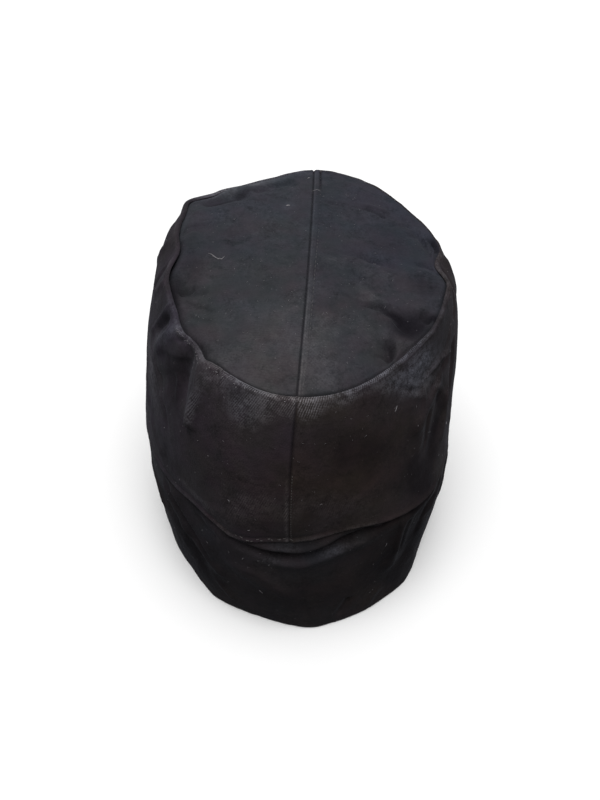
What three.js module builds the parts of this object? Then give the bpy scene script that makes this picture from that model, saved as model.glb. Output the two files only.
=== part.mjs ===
// A soft black cotton cap with its neck and ear flap turned down.
// Millimetres, +Z up. The front of the cap faces -Y, its wearer's left is +X.
// Origin: middle of the footprint, on the surface that the flap's hem stands on.
//
// Angles go round the cap from +X (0) over the back, +Y (90), to -X (180)
// and the front, -Y (270). Levels go up a panel from 0 to 1.

import * as THREE from 'three';

// ---------------------------------------------------------------- sizes
const CLOTH = 2.5;        // side wall and top: twill with its backing
const FLAP_CLOTH = 3.0;   // neck and ear flap: two layers of twill
const GAP = 0.3;          // between neighbouring pieces
const RIM_PROUD = 1.5;    // how far the wall's edge stands above the top panel
const TOP_RISE = 6.0;     // crown of the top panel along its centre seam
const SEAM_BOW = -1.0;    // sideways bow of the top's centre seam
const RIM_OUT = 1.3;      // the seam allowance carries the wall's edge outward
const CENTRE_X = -0.69;   // brings the middle of the footprint
const CENTRE_Y = 0.75;    // to the origin

const STEP_DEG = 4.5;     // mesh step round the cap
const WALL_ROWS = 10;     // mesh rows up the wall
const FLAP_ROWS = 9;      // mesh rows up the flap
const TIP_COLS = 9;       // mesh columns from the centre seam to the rim

// Cross sections from the hem up. halfWidth is along X and halfLength along
// Y. The last five columns bend the ellipse by small shares of its radius.
const SECTIONS = {
  hem:  { z: 0,     halfWidth: 81.2, halfLength: 93.0,  shiftX: -1.2, shiftY: 7.7,  square: -0.002, skew: 0.002,  egg: 0,      lean: 0.010,  twist: -0.003 },
  flap: { z: 40.0,  halfWidth: 88.3, halfLength: 101.9, shiftX: -0.1, shiftY: -0.1, square: 0.005,  skew: -0.001, egg: -0.004, lean: 0.001,  twist: -0.002 },
  seam: { z: 79.6,  halfWidth: 88.6, halfLength: 102.7, shiftX: 0.5,  shiftY: -1.7, square: -0.006, skew: -0.004, egg: 0.009,  lean: 0.017,  twist: -0.011 },
  wall: { z: 133.3, halfWidth: 83.5, halfLength: 97.8,  shiftX: 1.0,  shiftY: -4.3, square: 0.015,  skew: -0.007, egg: -0.022, lean: -0.010, twist: 0.002 },
  rim:  { z: 176.4, halfWidth: 73.1, halfLength: 86.6,  shiftX: -1.1, shiftY: -5.2, square: 0.019,  skew: -0.009, egg: -0.013, lean: -0.010, twist: -0.009 },
};

// How each section's height waves round the cap, in mm: cosine and sine
// terms that repeat 1 to 4 times.
const WAVES = {
  hem:  { cos1: 0,   sin1: 0,    cos2: 0,    sin2: 0,    cos3: 0,   sin3: 0,    cos4: 0,   sin4: 0 },
  flap: { cos1: 0,   sin1: 0,    cos2: 0,    sin2: 0,    cos3: 0.3, sin3: 0,    cos4: 0,   sin4: 0 },
  seam: { cos1: 0.2, sin1: 0.3,  cos2: -0.1, sin2: -0.1, cos3: 0.7, sin3: 0.2,  cos4: 0,   sin4: 0 },
  wall: { cos1: 0.1, sin1: -0.8, cos2: 0.8,  sin2: -0.3, cos3: 0.4, sin3: 0.1,  cos4: 0.2, sin4: -1.1 },
  rim:  { cos1: 0,   sin1: -1.9, cos2: 1.8,  sin2: -0.5, cos3: 0.1, sin3: -0.1, cos4: 0.4, sin4: -2.2 },
};

// Broad swells and dents of the sides. at and wide are degrees, level and
// tall shares of the panel's height, out and up mm. "seam" moves the lower
// edge of the wall and the upper edge of the flap together.
const SWELLS = [
  { name: 'front left corner',   on: 'wall', at: 322, wide: 7,  level: 1.0,  tall: 0.30, out: 8.0,  up: -0.6 },
  { name: 'front peak',          on: 'wall', at: 270, wide: 14, level: 1.0,  tall: 0.30, out: 0,    up: 2.9 },
  { name: 'front left rise',     on: 'wall', at: 298, wide: 10, level: 1.0,  tall: 0.30, out: 0,    up: 1.2 },
  { name: 'front right corner',  on: 'wall', at: 213, wide: 8,  level: 1.0,  tall: 0.30, out: 1.0,  up: 0 },
  { name: 'left rim bulge',      on: 'wall', at: 338, wide: 10, level: 1.0,  tall: 0.14, out: 1.5,  up: 0 },
  { name: 'left rim pinch',      on: 'wall', at: 355, wide: 10, level: 1.0,  tall: 0.14, out: -5.7, up: 0 },
  { name: 'right rim pinch',     on: 'wall', at: 185, wide: 9,  level: 1.0,  tall: 0.14, out: -6.8, up: 0 },
  { name: 'left shoulder',       on: 'wall', at: 335, wide: 12, level: 0.72, tall: 0.22, out: 3.5,  up: 0 },
  { name: 'right shoulder',      on: 'wall', at: 200, wide: 12, level: 0.72, tall: 0.22, out: 1.3,  up: 0 },
  { name: 'rim, back left',      on: 'wall', at: 42,  wide: 10, level: 1.0,  tall: 0.20, out: 1.6,  up: 0 },
  { name: 'rim, centre back',    on: 'wall', at: 82,  wide: 10, level: 1.0,  tall: 0.20, out: 0.9,  up: 0 },
  { name: 'rim, back right',     on: 'wall', at: 145, wide: 10, level: 1.0,  tall: 0.20, out: 1.4,  up: 0 },
  { name: 'rim, right',          on: 'wall', at: 165, wide: 10, level: 1.0,  tall: 0.20, out: -1.3, up: 0 },
  { name: 'seam dip, back left', on: 'seam', at: 75,  wide: 9,  level: 0,    tall: 0.30, out: 2.6,  up: -3.6 },
  { name: 'seam rise, back',     on: 'seam', at: 109, wide: 13, level: 0,    tall: 0.30, out: -2.4, up: 3.6 },
  { name: 'seam dip, right',     on: 'seam', at: 138, wide: 10, level: 0,    tall: 0.30, out: 0.8,  up: -0.6 },
  { name: 'seam rise, left',     on: 'seam', at: 55,  wide: 10, level: 0,    tall: 0.30, out: -0.6, up: 0.8 },
  { name: 'hem, centre back',    on: 'flap', at: 98,  wide: 8,  level: 0,    tall: 0.30, out: 2.0,  up: 0 },
  { name: 'hem dent',            on: 'flap', at: 76,  wide: 8,  level: 0,    tall: 0.30, out: -0.9, up: 0 },
  { name: 'hem, back left',      on: 'flap', at: 60,  wide: 7,  level: 0,    tall: 0.30, out: 1.3,  up: 0 },
  { name: 'hem, back right',     on: 'flap', at: 137, wide: 10, level: 0,    tall: 0.34, out: 2.2,  up: 0 },
];

// Folds of the sides, from one angle and level to another. wide and rise
// are mm; a negative rise is a crease.
const SIDE_FOLDS = [
  { name: 'pleat under the rim',   on: 'wall', at0: 57,   level0: 0.96, at1: 56.5, level1: 0.58, wide: 4.0, rise: 2.0 },
  { name: 'dent beside the pleat', on: 'wall', at0: 49,   level0: 0.92, at1: 47,   level1: 0.62, wide: 7.0, rise: -2.4 },
  { name: 'left slanting fold',    on: 'wall', at0: 8,    level0: 0.55, at1: 27,   level1: 0.92, wide: 4.5, rise: 1.8 },
  { name: 'left slanting crease',  on: 'wall', at0: 15,   level0: 0.50, at1: 35,   level1: 0.84, wide: 5.0, rise: -2.0 },
  { name: 'right slanting fold',   on: 'wall', at0: 150,  level0: 0.60, at1: 136,  level1: 0.45, wide: 4.5, rise: 1.8 },
  { name: 'right hollow',          on: 'wall', at0: 152,  level0: 0.42, at1: 142,  level1: 0.22, wide: 8.0, rise: -2.0 },
  { name: 'front left drape',      on: 'wall', at0: 300,  level0: 0.85, at1: 292,  level1: 0.25, wide: 9.0, rise: -2.2 },
  { name: 'front right drape',     on: 'wall', at0: 238,  level0: 0.80, at1: 246,  level1: 0.30, wide: 8.0, rise: -2.0 },
  { name: 'crease under seam, a',  on: 'flap', at0: 66,   level0: 0.99, at1: 87,   level1: 0.87, wide: 3.0, rise: -2.2 },
  { name: 'crease under seam, b',  on: 'flap', at0: 87,   level0: 0.87, at1: 97,   level1: 0.86, wide: 3.0, rise: -2.2 },
  { name: 'crease under seam, c',  on: 'flap', at0: 97,   level0: 0.86, at1: 114,  level1: 0.95, wide: 3.0, rise: -2.0 },
  { name: 'left long ridge, a',    on: 'flap', at0: 40,   level0: 0.84, at1: 53,   level1: 0.70, wide: 4.5, rise: 1.8 },
  { name: 'left long ridge, b',    on: 'flap', at0: 53,   level0: 0.70, at1: 66,   level1: 0.46, wide: 4.5, rise: 1.8 },
  { name: 'left hollow',           on: 'flap', at0: 38,   level0: 0.66, at1: 56,   level1: 0.36, wide: 9.0, rise: -2.4 },
  { name: 'back low ridge',        on: 'flap', at0: 73,   level0: 0.66, at1: 88.5, level1: 0.45, wide: 4.5, rise: 1.4 },
  { name: 'right fold',            on: 'flap', at0: 129,  level0: 0.95, at1: 125,  level1: 0.45, wide: 5.0, rise: 1.8 },
  { name: 'right hollow',          on: 'flap', at0: 137,  level0: 0.80, at1: 134,  level1: 0.40, wide: 7.0, rise: -1.8 },
  { name: 'front left fold',       on: 'flap', at0: 306,  level0: 0.85, at1: 312,  level1: 0.30, wide: 7.0, rise: 1.6 },
  { name: 'front right fold',      on: 'flap', at0: 233,  level0: 0.85, at1: 228,  level1: 0.30, wide: 7.0, rise: 1.6 },
];

// Folds of the top, between two points of its plan, in mm.
const TOP_FOLDS = [
  { name: 'middle crease, a',    x0: -17, y0: -10, x1: -34, y1: -6,  wide: 2.6, rise: -0.9 },
  { name: 'middle crease, b',    x0: -34, y0: -6,  x1: -47, y1: 1,   wide: 2.6, rise: -0.9 },
  { name: 'back right crease, a', x0: -28, y0: 26, x1: -41, y1: 32,  wide: 4.0, rise: -2.4 },
  { name: 'back right crease, b', x0: -41, y0: 32, x1: -50, y1: 41,  wide: 4.5, rise: -2.4 },
  { name: 'back right swell',    x0: -40, y0: 22,  x1: -54, y1: 30,  wide: 7.0, rise: 1.4 },
  { name: 'back right dent',     x0: -42, y0: 50,  x1: -43, y1: 60,  wide: 4.0, rise: -1.8 },
  { name: 'right edge crease',   x0: -56, y0: -8,  x1: -67, y1: -4,  wide: 3.0, rise: -1.2 },
  { name: 'right edge ridge',    x0: -51, y0: -38, x1: -63, y1: -20, wide: 3.5, rise: 1.2 },
  { name: 'right corner hollow', x0: -62, y0: -36, x1: -67, y1: -20, wide: 4.0, rise: -3.0 },
  { name: 'front left crease, a', x0: 55, y0: -53, x1: 37,  y1: -60, wide: 3.0, rise: -1.8 },
  { name: 'front left crease, b', x0: 29, y0: -67, x1: 10,  y1: -75, wide: 3.0, rise: -1.8 },
  { name: 'left edge dent',      x0: 66,  y0: -4,  x1: 60,  y1: 16,  wide: 5.0, rise: -2.0 },
];

// ---------------------------------------------------------------- form
const RAD = Math.PI / 180;
const turnTo = (a) => ((a + 180) % 360 + 360) % 360 - 180;
const bell = (d, w) => Math.exp(-(d * d) / (w * w));

function ring(name, deg) {
  const s = SECTIONS[name], w = WAVES[name], a = deg * RAD;
  const r = (1 / Math.hypot(Math.cos(a) / s.halfWidth, Math.sin(a) / s.halfLength))
    * (1 + s.square * Math.cos(4 * a) + s.skew * Math.sin(4 * a) + s.egg * Math.sin(3 * a)
      + s.lean * Math.cos(3 * a) + s.twist * Math.sin(2 * a));
  let z = s.z;
  for (let k = 1; k <= 4; k++) z += w['cos' + k] * Math.cos(k * a) + w['sin' + k] * Math.sin(k * a);
  return new THREE.Vector3(s.shiftX + r * Math.cos(a), s.shiftY + r * Math.sin(a), z);
}

// a smooth curve through three sections, at levels 0, 1/2 and 1
function through(a, b, c, q) {
  return a.multiplyScalar((1 - q) * (1 - 2 * q)).addScaledVector(b, 4 * q * (1 - q)).addScaledVector(c, q * (2 * q - 1));
}

// distance from (x, y) to the segment (x0, y0)-(x1, y1)
function toSegment(x, y, x0, y0, x1, y1) {
  const dx = x1 - x0, dy = y1 - y0;
  const t = THREE.MathUtils.clamp(((x - x0) * dx + (y - y0) * dy) / (dx * dx + dy * dy), 0, 1);
  return Math.hypot(x - x0 - t * dx, y - y0 - t * dy);
}

// outer face of the wall (seam 0 .. rim 1) or of the flap (hem 0 .. seam 1)
function side(panel, deg, q) {
  const p = panel === 'wall'
    ? through(ring('seam', deg), ring('wall', deg), ring('rim', deg), q)
    : through(ring('hem', deg), ring('flap', deg), ring('seam', deg), q);
  const height = panel === 'wall' ? SECTIONS.rim.z - SECTIONS.seam.z : SECTIONS.seam.z;
  const fromSeam = panel === 'wall' ? q : 1 - q;
  let out = panel === 'wall' ? RIM_OUT * bell(1 - q, 0.3) * (1 + Math.sin(deg * RAD)) / 2 : 0;
  let up = 0;
  for (const s of SWELLS) {
    if (s.on !== panel && s.on !== 'seam') continue;
    const h = s.on === 'seam' ? bell(fromSeam, s.tall) : bell(q - s.level, s.tall);
    const g = h * bell(turnTo(deg - s.at), s.wide);
    out += s.out * g;
    up += s.up * g;
  }
  const mid = SECTIONS.flap.halfWidth * RAD;      // mm for one degree
  for (const f of SIDE_FOLDS) {
    if (f.on !== panel) continue;
    const d = toSegment(turnTo(deg - f.at0) * mid, (q - f.level0) * height,
      0, 0, turnTo(f.at1 - f.at0) * mid, (f.level1 - f.level0) * height);
    // folds die out at the hem, which lies flat
    out += f.rise * bell(d, f.wide) * (panel === 'flap' ? THREE.MathUtils.smoothstep(q, 0, 0.15) : 1);
  }
  p.x += out * Math.cos(deg * RAD);
  p.y += out * Math.sin(deg * RAD);
  p.z += up;
  return p;
}

// outward normal of a side panel, turned level at its stitched and hemmed
// edges so that neighbours meet face to face
function sideNormal(panel, deg, q) {
  const e = 0.01, q0 = Math.max(0, q - e), q1 = Math.min(1, q + e);
  const round = side(panel, deg + 0.5, q).sub(side(panel, deg - 0.5, q));
  const rise = side(panel, deg, q1).sub(side(panel, deg, q0));
  const n = round.cross(rise).normalize();
  const level = panel === 'wall' ? bell(q, 0.12) : Math.max(bell(q, 0.12), bell(1 - q, 0.12));
  n.z *= 1 - level;
  return n.normalize();
}

// ---------------------------------------------------------------- meshes
// A closed sheet from two grids of points, outer[i][j] and inner[i][j].
// around joins the last row i to the first.
function sheet(outer, inner, around = false) {
  const rows = outer.length, cols = outer[0].length, position = [], index = [];
  for (const grid of [outer, inner]) for (const row of grid) for (const p of row) position.push(p.x, p.y, p.z);
  const at = (k, i, j) => (k * rows + (i % rows)) * cols + j;
  const quad = (a, b, c, d) => index.push(a, b, c, a, c, d);
  const last = around ? rows : rows - 1;
  for (let i = 0; i < last; i++) {
    for (let j = 0; j < cols - 1; j++) {
      quad(at(0, i, j), at(0, i + 1, j), at(0, i + 1, j + 1), at(0, i, j + 1));
      quad(at(1, i, j), at(1, i, j + 1), at(1, i + 1, j + 1), at(1, i + 1, j));
    }
    quad(at(0, i, 0), at(1, i, 0), at(1, i + 1, 0), at(0, i + 1, 0));
    quad(at(0, i, cols - 1), at(0, i + 1, cols - 1), at(1, i + 1, cols - 1), at(1, i, cols - 1));
  }
  if (!around) {
    for (let j = 0; j < cols - 1; j++) {
      quad(at(0, 0, j), at(0, 0, j + 1), at(1, 0, j + 1), at(1, 0, j));
      quad(at(0, rows - 1, j), at(1, rows - 1, j), at(1, rows - 1, j + 1), at(0, rows - 1, j + 1));
    }
  }
  // faces point out: turn them all where the enclosed volume comes out negative
  let volume = 0;
  const v = (k) => new THREE.Vector3(position[3 * k], position[3 * k + 1], position[3 * k + 2]);
  for (let k = 0; k < index.length; k += 3) volume += v(index[k]).dot(v(index[k + 1]).cross(v(index[k + 2])));
  if (volume < 0) for (let k = 0; k < index.length; k += 3) [index[k], index[k + 1]] = [index[k + 1], index[k]];
  const geometry = new THREE.BufferGeometry();
  geometry.setAttribute('position', new THREE.Float32BufferAttribute(position, 3));
  geometry.setIndex(index);
  geometry.computeVertexNormals();
  return geometry;
}

const steps = (from, to, count) => Array.from({ length: count + 1 }, (_, i) => from + (to - from) * i / count);
const wallLevels = steps(0, 1, WALL_ROWS);
const halfSteps = Math.round(180 / STEP_DEG);

// the angles of a half's mesh rows, from one end seam to the other
function halfAngles(from) {
  const ease = 0.5 * GAP / SECTIONS.wall.halfLength / RAD;
  return steps(from + ease, from + 180 - ease, halfSteps);
}

// half of the side wall
function wallHalf(from) {
  const angles = halfAngles(from);
  const outer = angles.map((a) => wallLevels.map((q) => side('wall', a, q)));
  const inner = angles.map((a) => wallLevels.map((q) => side('wall', a, q).addScaledVector(sideNormal('wall', a, q), -CLOTH)));
  return sheet(outer, inner);
}

// the inner face of the wall, a little below its upper edge
function besideRim(deg) {
  const q0 = wallLevels[WALL_ROWS - 1];
  const n = sideNormal('wall', deg, 1);
  const high = side('wall', deg, 1).addScaledVector(n, -CLOTH);
  const low = side('wall', deg, q0).addScaledVector(sideNormal('wall', deg, q0), -CLOTH);
  return high.lerp(low, RIM_PROUD / high.distanceTo(low)).addScaledVector(n.setZ(0).normalize(), -GAP);
}

// upper face of the top: from the centre seam (s 0) to the rim (s 1)
function topPoint(deg, s, seamSide) {
  const back = besideRim(90), front = besideRim(270), edge = besideRim(deg);
  const t = THREE.MathUtils.clamp((edge.y - front.y) / (back.y - front.y), 0, 1);
  const arch = 1 - (2 * t - 1) ** 2;
  const seamX = THREE.MathUtils.lerp(front.x, back.x, t) + SEAM_BOW * arch + seamSide * GAP / 2;
  const seamZ = THREE.MathUtils.lerp(front.z, back.z, t) + TOP_RISE * arch;
  const p = new THREE.Vector3(THREE.MathUtils.lerp(seamX, edge.x, s), edge.y, THREE.MathUtils.lerp(seamZ, edge.z, s * s));
  let rise = 0;
  for (const f of TOP_FOLDS) rise += f.rise * bell(toSegment(p.x, p.y, f.x0, f.y0, f.x1, f.y1), f.wide);
  p.z += rise * (1 - THREE.MathUtils.smoothstep(s, 0.9, 1));
  return p;
}

// half of the top: its rows meet the wall's, and it stops a row short of
// the points where the seams run together
function tipHalf(from, seamSide) {
  const angles = halfAngles(from).slice(1, -1);
  const upper = angles.map((a) => steps(0, 1, TIP_COLS).map((s) => topPoint(a, s, seamSide)));
  const lower = upper.map((row) => row.map((p) => p.clone().setZ(p.z - CLOTH)));
  return sheet(upper, lower);
}

// the turned-down flap, one loop, with its rows under the wall's
function flapLoop() {
  const angles = [-90, ...halfAngles(-90).slice(1, -1), 90, ...halfAngles(90).slice(1, -1)];
  const levels = steps(0, 1, FLAP_ROWS);
  const drop = (p, q) => p.setZ(p.z - GAP * q);
  const outer = angles.map((a) => levels.map((q) => drop(side('flap', a, q), q)));
  const inner = angles.map((a) => levels.map((q) => drop(side('flap', a, q).addScaledVector(sideNormal('flap', a, q), -FLAP_CLOTH), q)));
  return sheet(outer, inner, true);
}

// ---------------------------------------------------------------- pieces
const cloth = (color) => new THREE.MeshStandardMaterial({ color, roughness: 0.95, metalness: 0, side: THREE.FrontSide });
const cap = new THREE.Group();
cap.position.set(CENTRE_X, CENTRE_Y, 0);

function add(name, geometry, color) {
  const mesh = new THREE.Mesh(geometry, cloth(color));
  mesh.name = name;
  cap.add(mesh);
}

add('crown_tip_left', tipHalf(-90, 1), 0x3b3b40);
add('crown_tip_right', tipHalf(90, -1), 0x38383c);
add('crown_wall_left', wallHalf(-90), 0x2f2c2c);
add('crown_wall_right', wallHalf(90), 0x2c2a2a);
add('neck_flap', flapLoop(), 0x1d1d20);

export default cap;
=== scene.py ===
"""A soft black twill cap standing on its turned-down neck and ear flap.

Row frame, metres, +Z up. The front of the cap faces -Y, its wearer's left is
+X. Shapes are worked out in millimetres and written to the meshes in metres.
Angles go round the cap from +X (0) over the back, +Y (90), to -X (180) and the
front, -Y (270). Levels go up a panel from 0 to 1.
"""

import math

import bpy
import numpy as np
from mathutils import Matrix, Vector


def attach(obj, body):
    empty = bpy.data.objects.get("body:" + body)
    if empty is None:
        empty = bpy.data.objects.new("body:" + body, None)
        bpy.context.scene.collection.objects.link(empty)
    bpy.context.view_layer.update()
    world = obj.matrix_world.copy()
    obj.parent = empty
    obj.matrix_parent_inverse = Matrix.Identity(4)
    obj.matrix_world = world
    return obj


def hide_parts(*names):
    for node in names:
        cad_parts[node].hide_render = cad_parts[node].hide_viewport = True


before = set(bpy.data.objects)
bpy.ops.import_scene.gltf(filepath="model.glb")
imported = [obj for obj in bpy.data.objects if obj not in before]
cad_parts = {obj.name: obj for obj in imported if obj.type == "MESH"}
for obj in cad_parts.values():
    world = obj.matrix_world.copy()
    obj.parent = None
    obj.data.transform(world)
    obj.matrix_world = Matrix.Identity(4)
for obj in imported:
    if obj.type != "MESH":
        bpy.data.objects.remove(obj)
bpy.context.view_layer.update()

# ------------------------------------------------------------------ the form
# The same sizes as the CAD panels, in mm.
CLOTH, FLAP_CLOTH, TIP_CLOTH = 2.5, 3.0, 2.2
RIM_PROUD, TOP_RISE, SEAM_BOW, RIM_OUT = 1.5, 6.0, -1.0, 1.3
CENTRE = np.array([-0.69, 0.75, 0.0])
MID = 88.3 * math.pi / 180  # mm for one degree round the cap
WALL_HIGH, FLAP_HIGH = 96.8, 79.6

# z, half width, half length, shift x, shift y, square, skew, egg, lean, twist
SECTIONS = {
    "hem": (0, 81.2, 93.0, -1.2, 7.7, -0.002, 0.002, 0, 0.010, -0.003),
    "flap": (40.0, 88.3, 101.9, -0.1, -0.1, 0.005, -0.001, -0.004, 0.001, -0.002),
    "seam": (79.6, 88.6, 102.7, 0.5, -1.7, -0.006, -0.004, 0.009, 0.017, -0.011),
    "wall": (133.3, 83.5, 97.8, 1.0, -4.3, 0.015, -0.007, -0.022, -0.010, 0.002),
    "rim": (176.4, 73.1, 86.6, -1.1, -5.2, 0.019, -0.009, -0.013, -0.010, -0.009),
}
# height waves: cos and sin of 1 to 4 times the angle
WAVES = {
    "hem": (0, 0, 0, 0, 0, 0, 0, 0),
    "flap": (0, 0, 0, 0, 0.3, 0, 0, 0),
    "seam": (0.2, 0.3, -0.1, -0.1, 0.7, 0.2, 0, 0),
    "wall": (0.1, -0.8, 0.8, -0.3, 0.4, 0.1, 0.2, -1.1),
    "rim": (0, -1.9, 1.8, -0.5, 0.1, -0.1, 0.4, -2.2),
}
# panel, angle, width, level, height, out, up
SWELLS = [
    ("wall", 322, 7, 1.0, 0.30, 8.0, -0.6),
    ("wall", 340, 7, 1.0, 0.05, -2.6, 0),
    ("wall", 270, 14, 1.0, 0.30, 0, 2.9),
    ("wall", 298, 10, 1.0, 0.30, 0, 1.5),
    ("wall", 309, 7, 1.0, 0.30, 0, 2.6),
    ("wall", 213, 8, 1.0, 0.30, 1.0, 0),
    ("wall", 338, 10, 1.0, 0.14, 1.5, 0),
    ("wall", 355, 10, 1.0, 0.14, -5.7, 0),
    ("wall", 185, 9, 1.0, 0.14, -6.8, 0),
    ("wall", 335, 12, 0.72, 0.22, 3.5, 0),
    ("wall", 200, 12, 0.72, 0.22, 1.3, 0),
    ("wall", 42, 10, 1.0, 0.20, 1.6, 0),
    ("wall", 82, 10, 1.0, 0.20, 0.9, 0),
    ("wall", 145, 10, 1.0, 0.20, 1.4, 0),
    ("wall", 165, 10, 1.0, 0.20, -1.3, 0),
    ("seam", 75, 9, 0, 0.30, 2.6, -3.6),
    ("seam", 109, 13, 0, 0.30, -2.4, 3.6),
    ("seam", 138, 10, 0, 0.30, 0.8, -0.6),
    ("seam", 55, 10, 0, 0.30, -0.6, 0.8),
    ("flap", 98, 8, 0, 0.30, 2.0, 0),
    ("flap", 76, 8, 0, 0.30, -0.9, 0),
    ("flap", 60, 7, 0, 0.30, 1.3, 0),
    ("flap", 137, 10, 0, 0.34, 2.2, 0),
]
# Broad folds, nearly as in the CAD panels: panel, angle and level at both ends, width and rise in mm
SIDE_FOLDS = [
    ("wall", 57, 0.96, 56.5, 0.58, 4.0, 2.0),
    ("wall", 49, 0.92, 47, 0.62, 7.0, -2.4),
    ("wall", 22, 0.62, 34, 0.94, 5.0, 0.7),
    ("wall", 32, 0.52, 47, 0.72, 6.0, -1.8),
    ("wall", 150, 0.60, 136, 0.45, 4.5, 1.8),
    ("wall", 152, 0.42, 142, 0.22, 8.0, -2.0),
    ("wall", 300, 0.85, 292, 0.25, 9.0, -2.2),
    ("wall", 238, 0.80, 246, 0.30, 8.0, -2.0),
    ("flap", 66, 0.99, 87, 0.87, 3.0, -2.2),
    ("flap", 87, 0.87, 97, 0.86, 3.0, -2.2),
    ("flap", 97, 0.86, 114, 0.95, 3.0, -2.0),
    ("flap", 40, 0.84, 53, 0.70, 4.5, 1.8),
    ("flap", 53, 0.70, 66, 0.46, 4.5, 1.8),
    ("flap", 38, 0.66, 56, 0.36, 9.0, -2.4),
    ("flap", 73, 0.66, 88.5, 0.45, 4.5, 1.4),
    ("flap", 129, 0.95, 125, 0.45, 5.0, 1.8),
    ("flap", 137, 0.80, 134, 0.40, 7.0, -1.8),
    ("flap", 306, 0.85, 312, 0.30, 7.0, 1.6),
    ("flap", 233, 0.85, 228, 0.30, 7.0, 1.6),
]
TOP_FOLDS = [
    (-17, -10, -34, -6, 2.6, -0.9),
    (-34, -6, -47, 1, 2.6, -0.9),
    (-28, 26, -41, 32, 4.0, -0.8),
    (-41, 32, -50, 41, 4.5, -1.0),
    (-40, 22, -54, 30, 7.0, 1.4),
    (-42, 50, -43, 60, 4.0, -1.8),
    (-56, -8, -67, -4, 3.0, -1.2),
    (-51, -38, -63, -20, 3.5, 1.2),
    (-62, -36, -67, -20, 4.0, -3.0),
    (55, -53, 37, -60, 3.0, -1.8),
    (29, -67, 10, -75, 3.0, -1.8),
    (66, -4, 60, 16, 5.0, -2.0),
]

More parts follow.
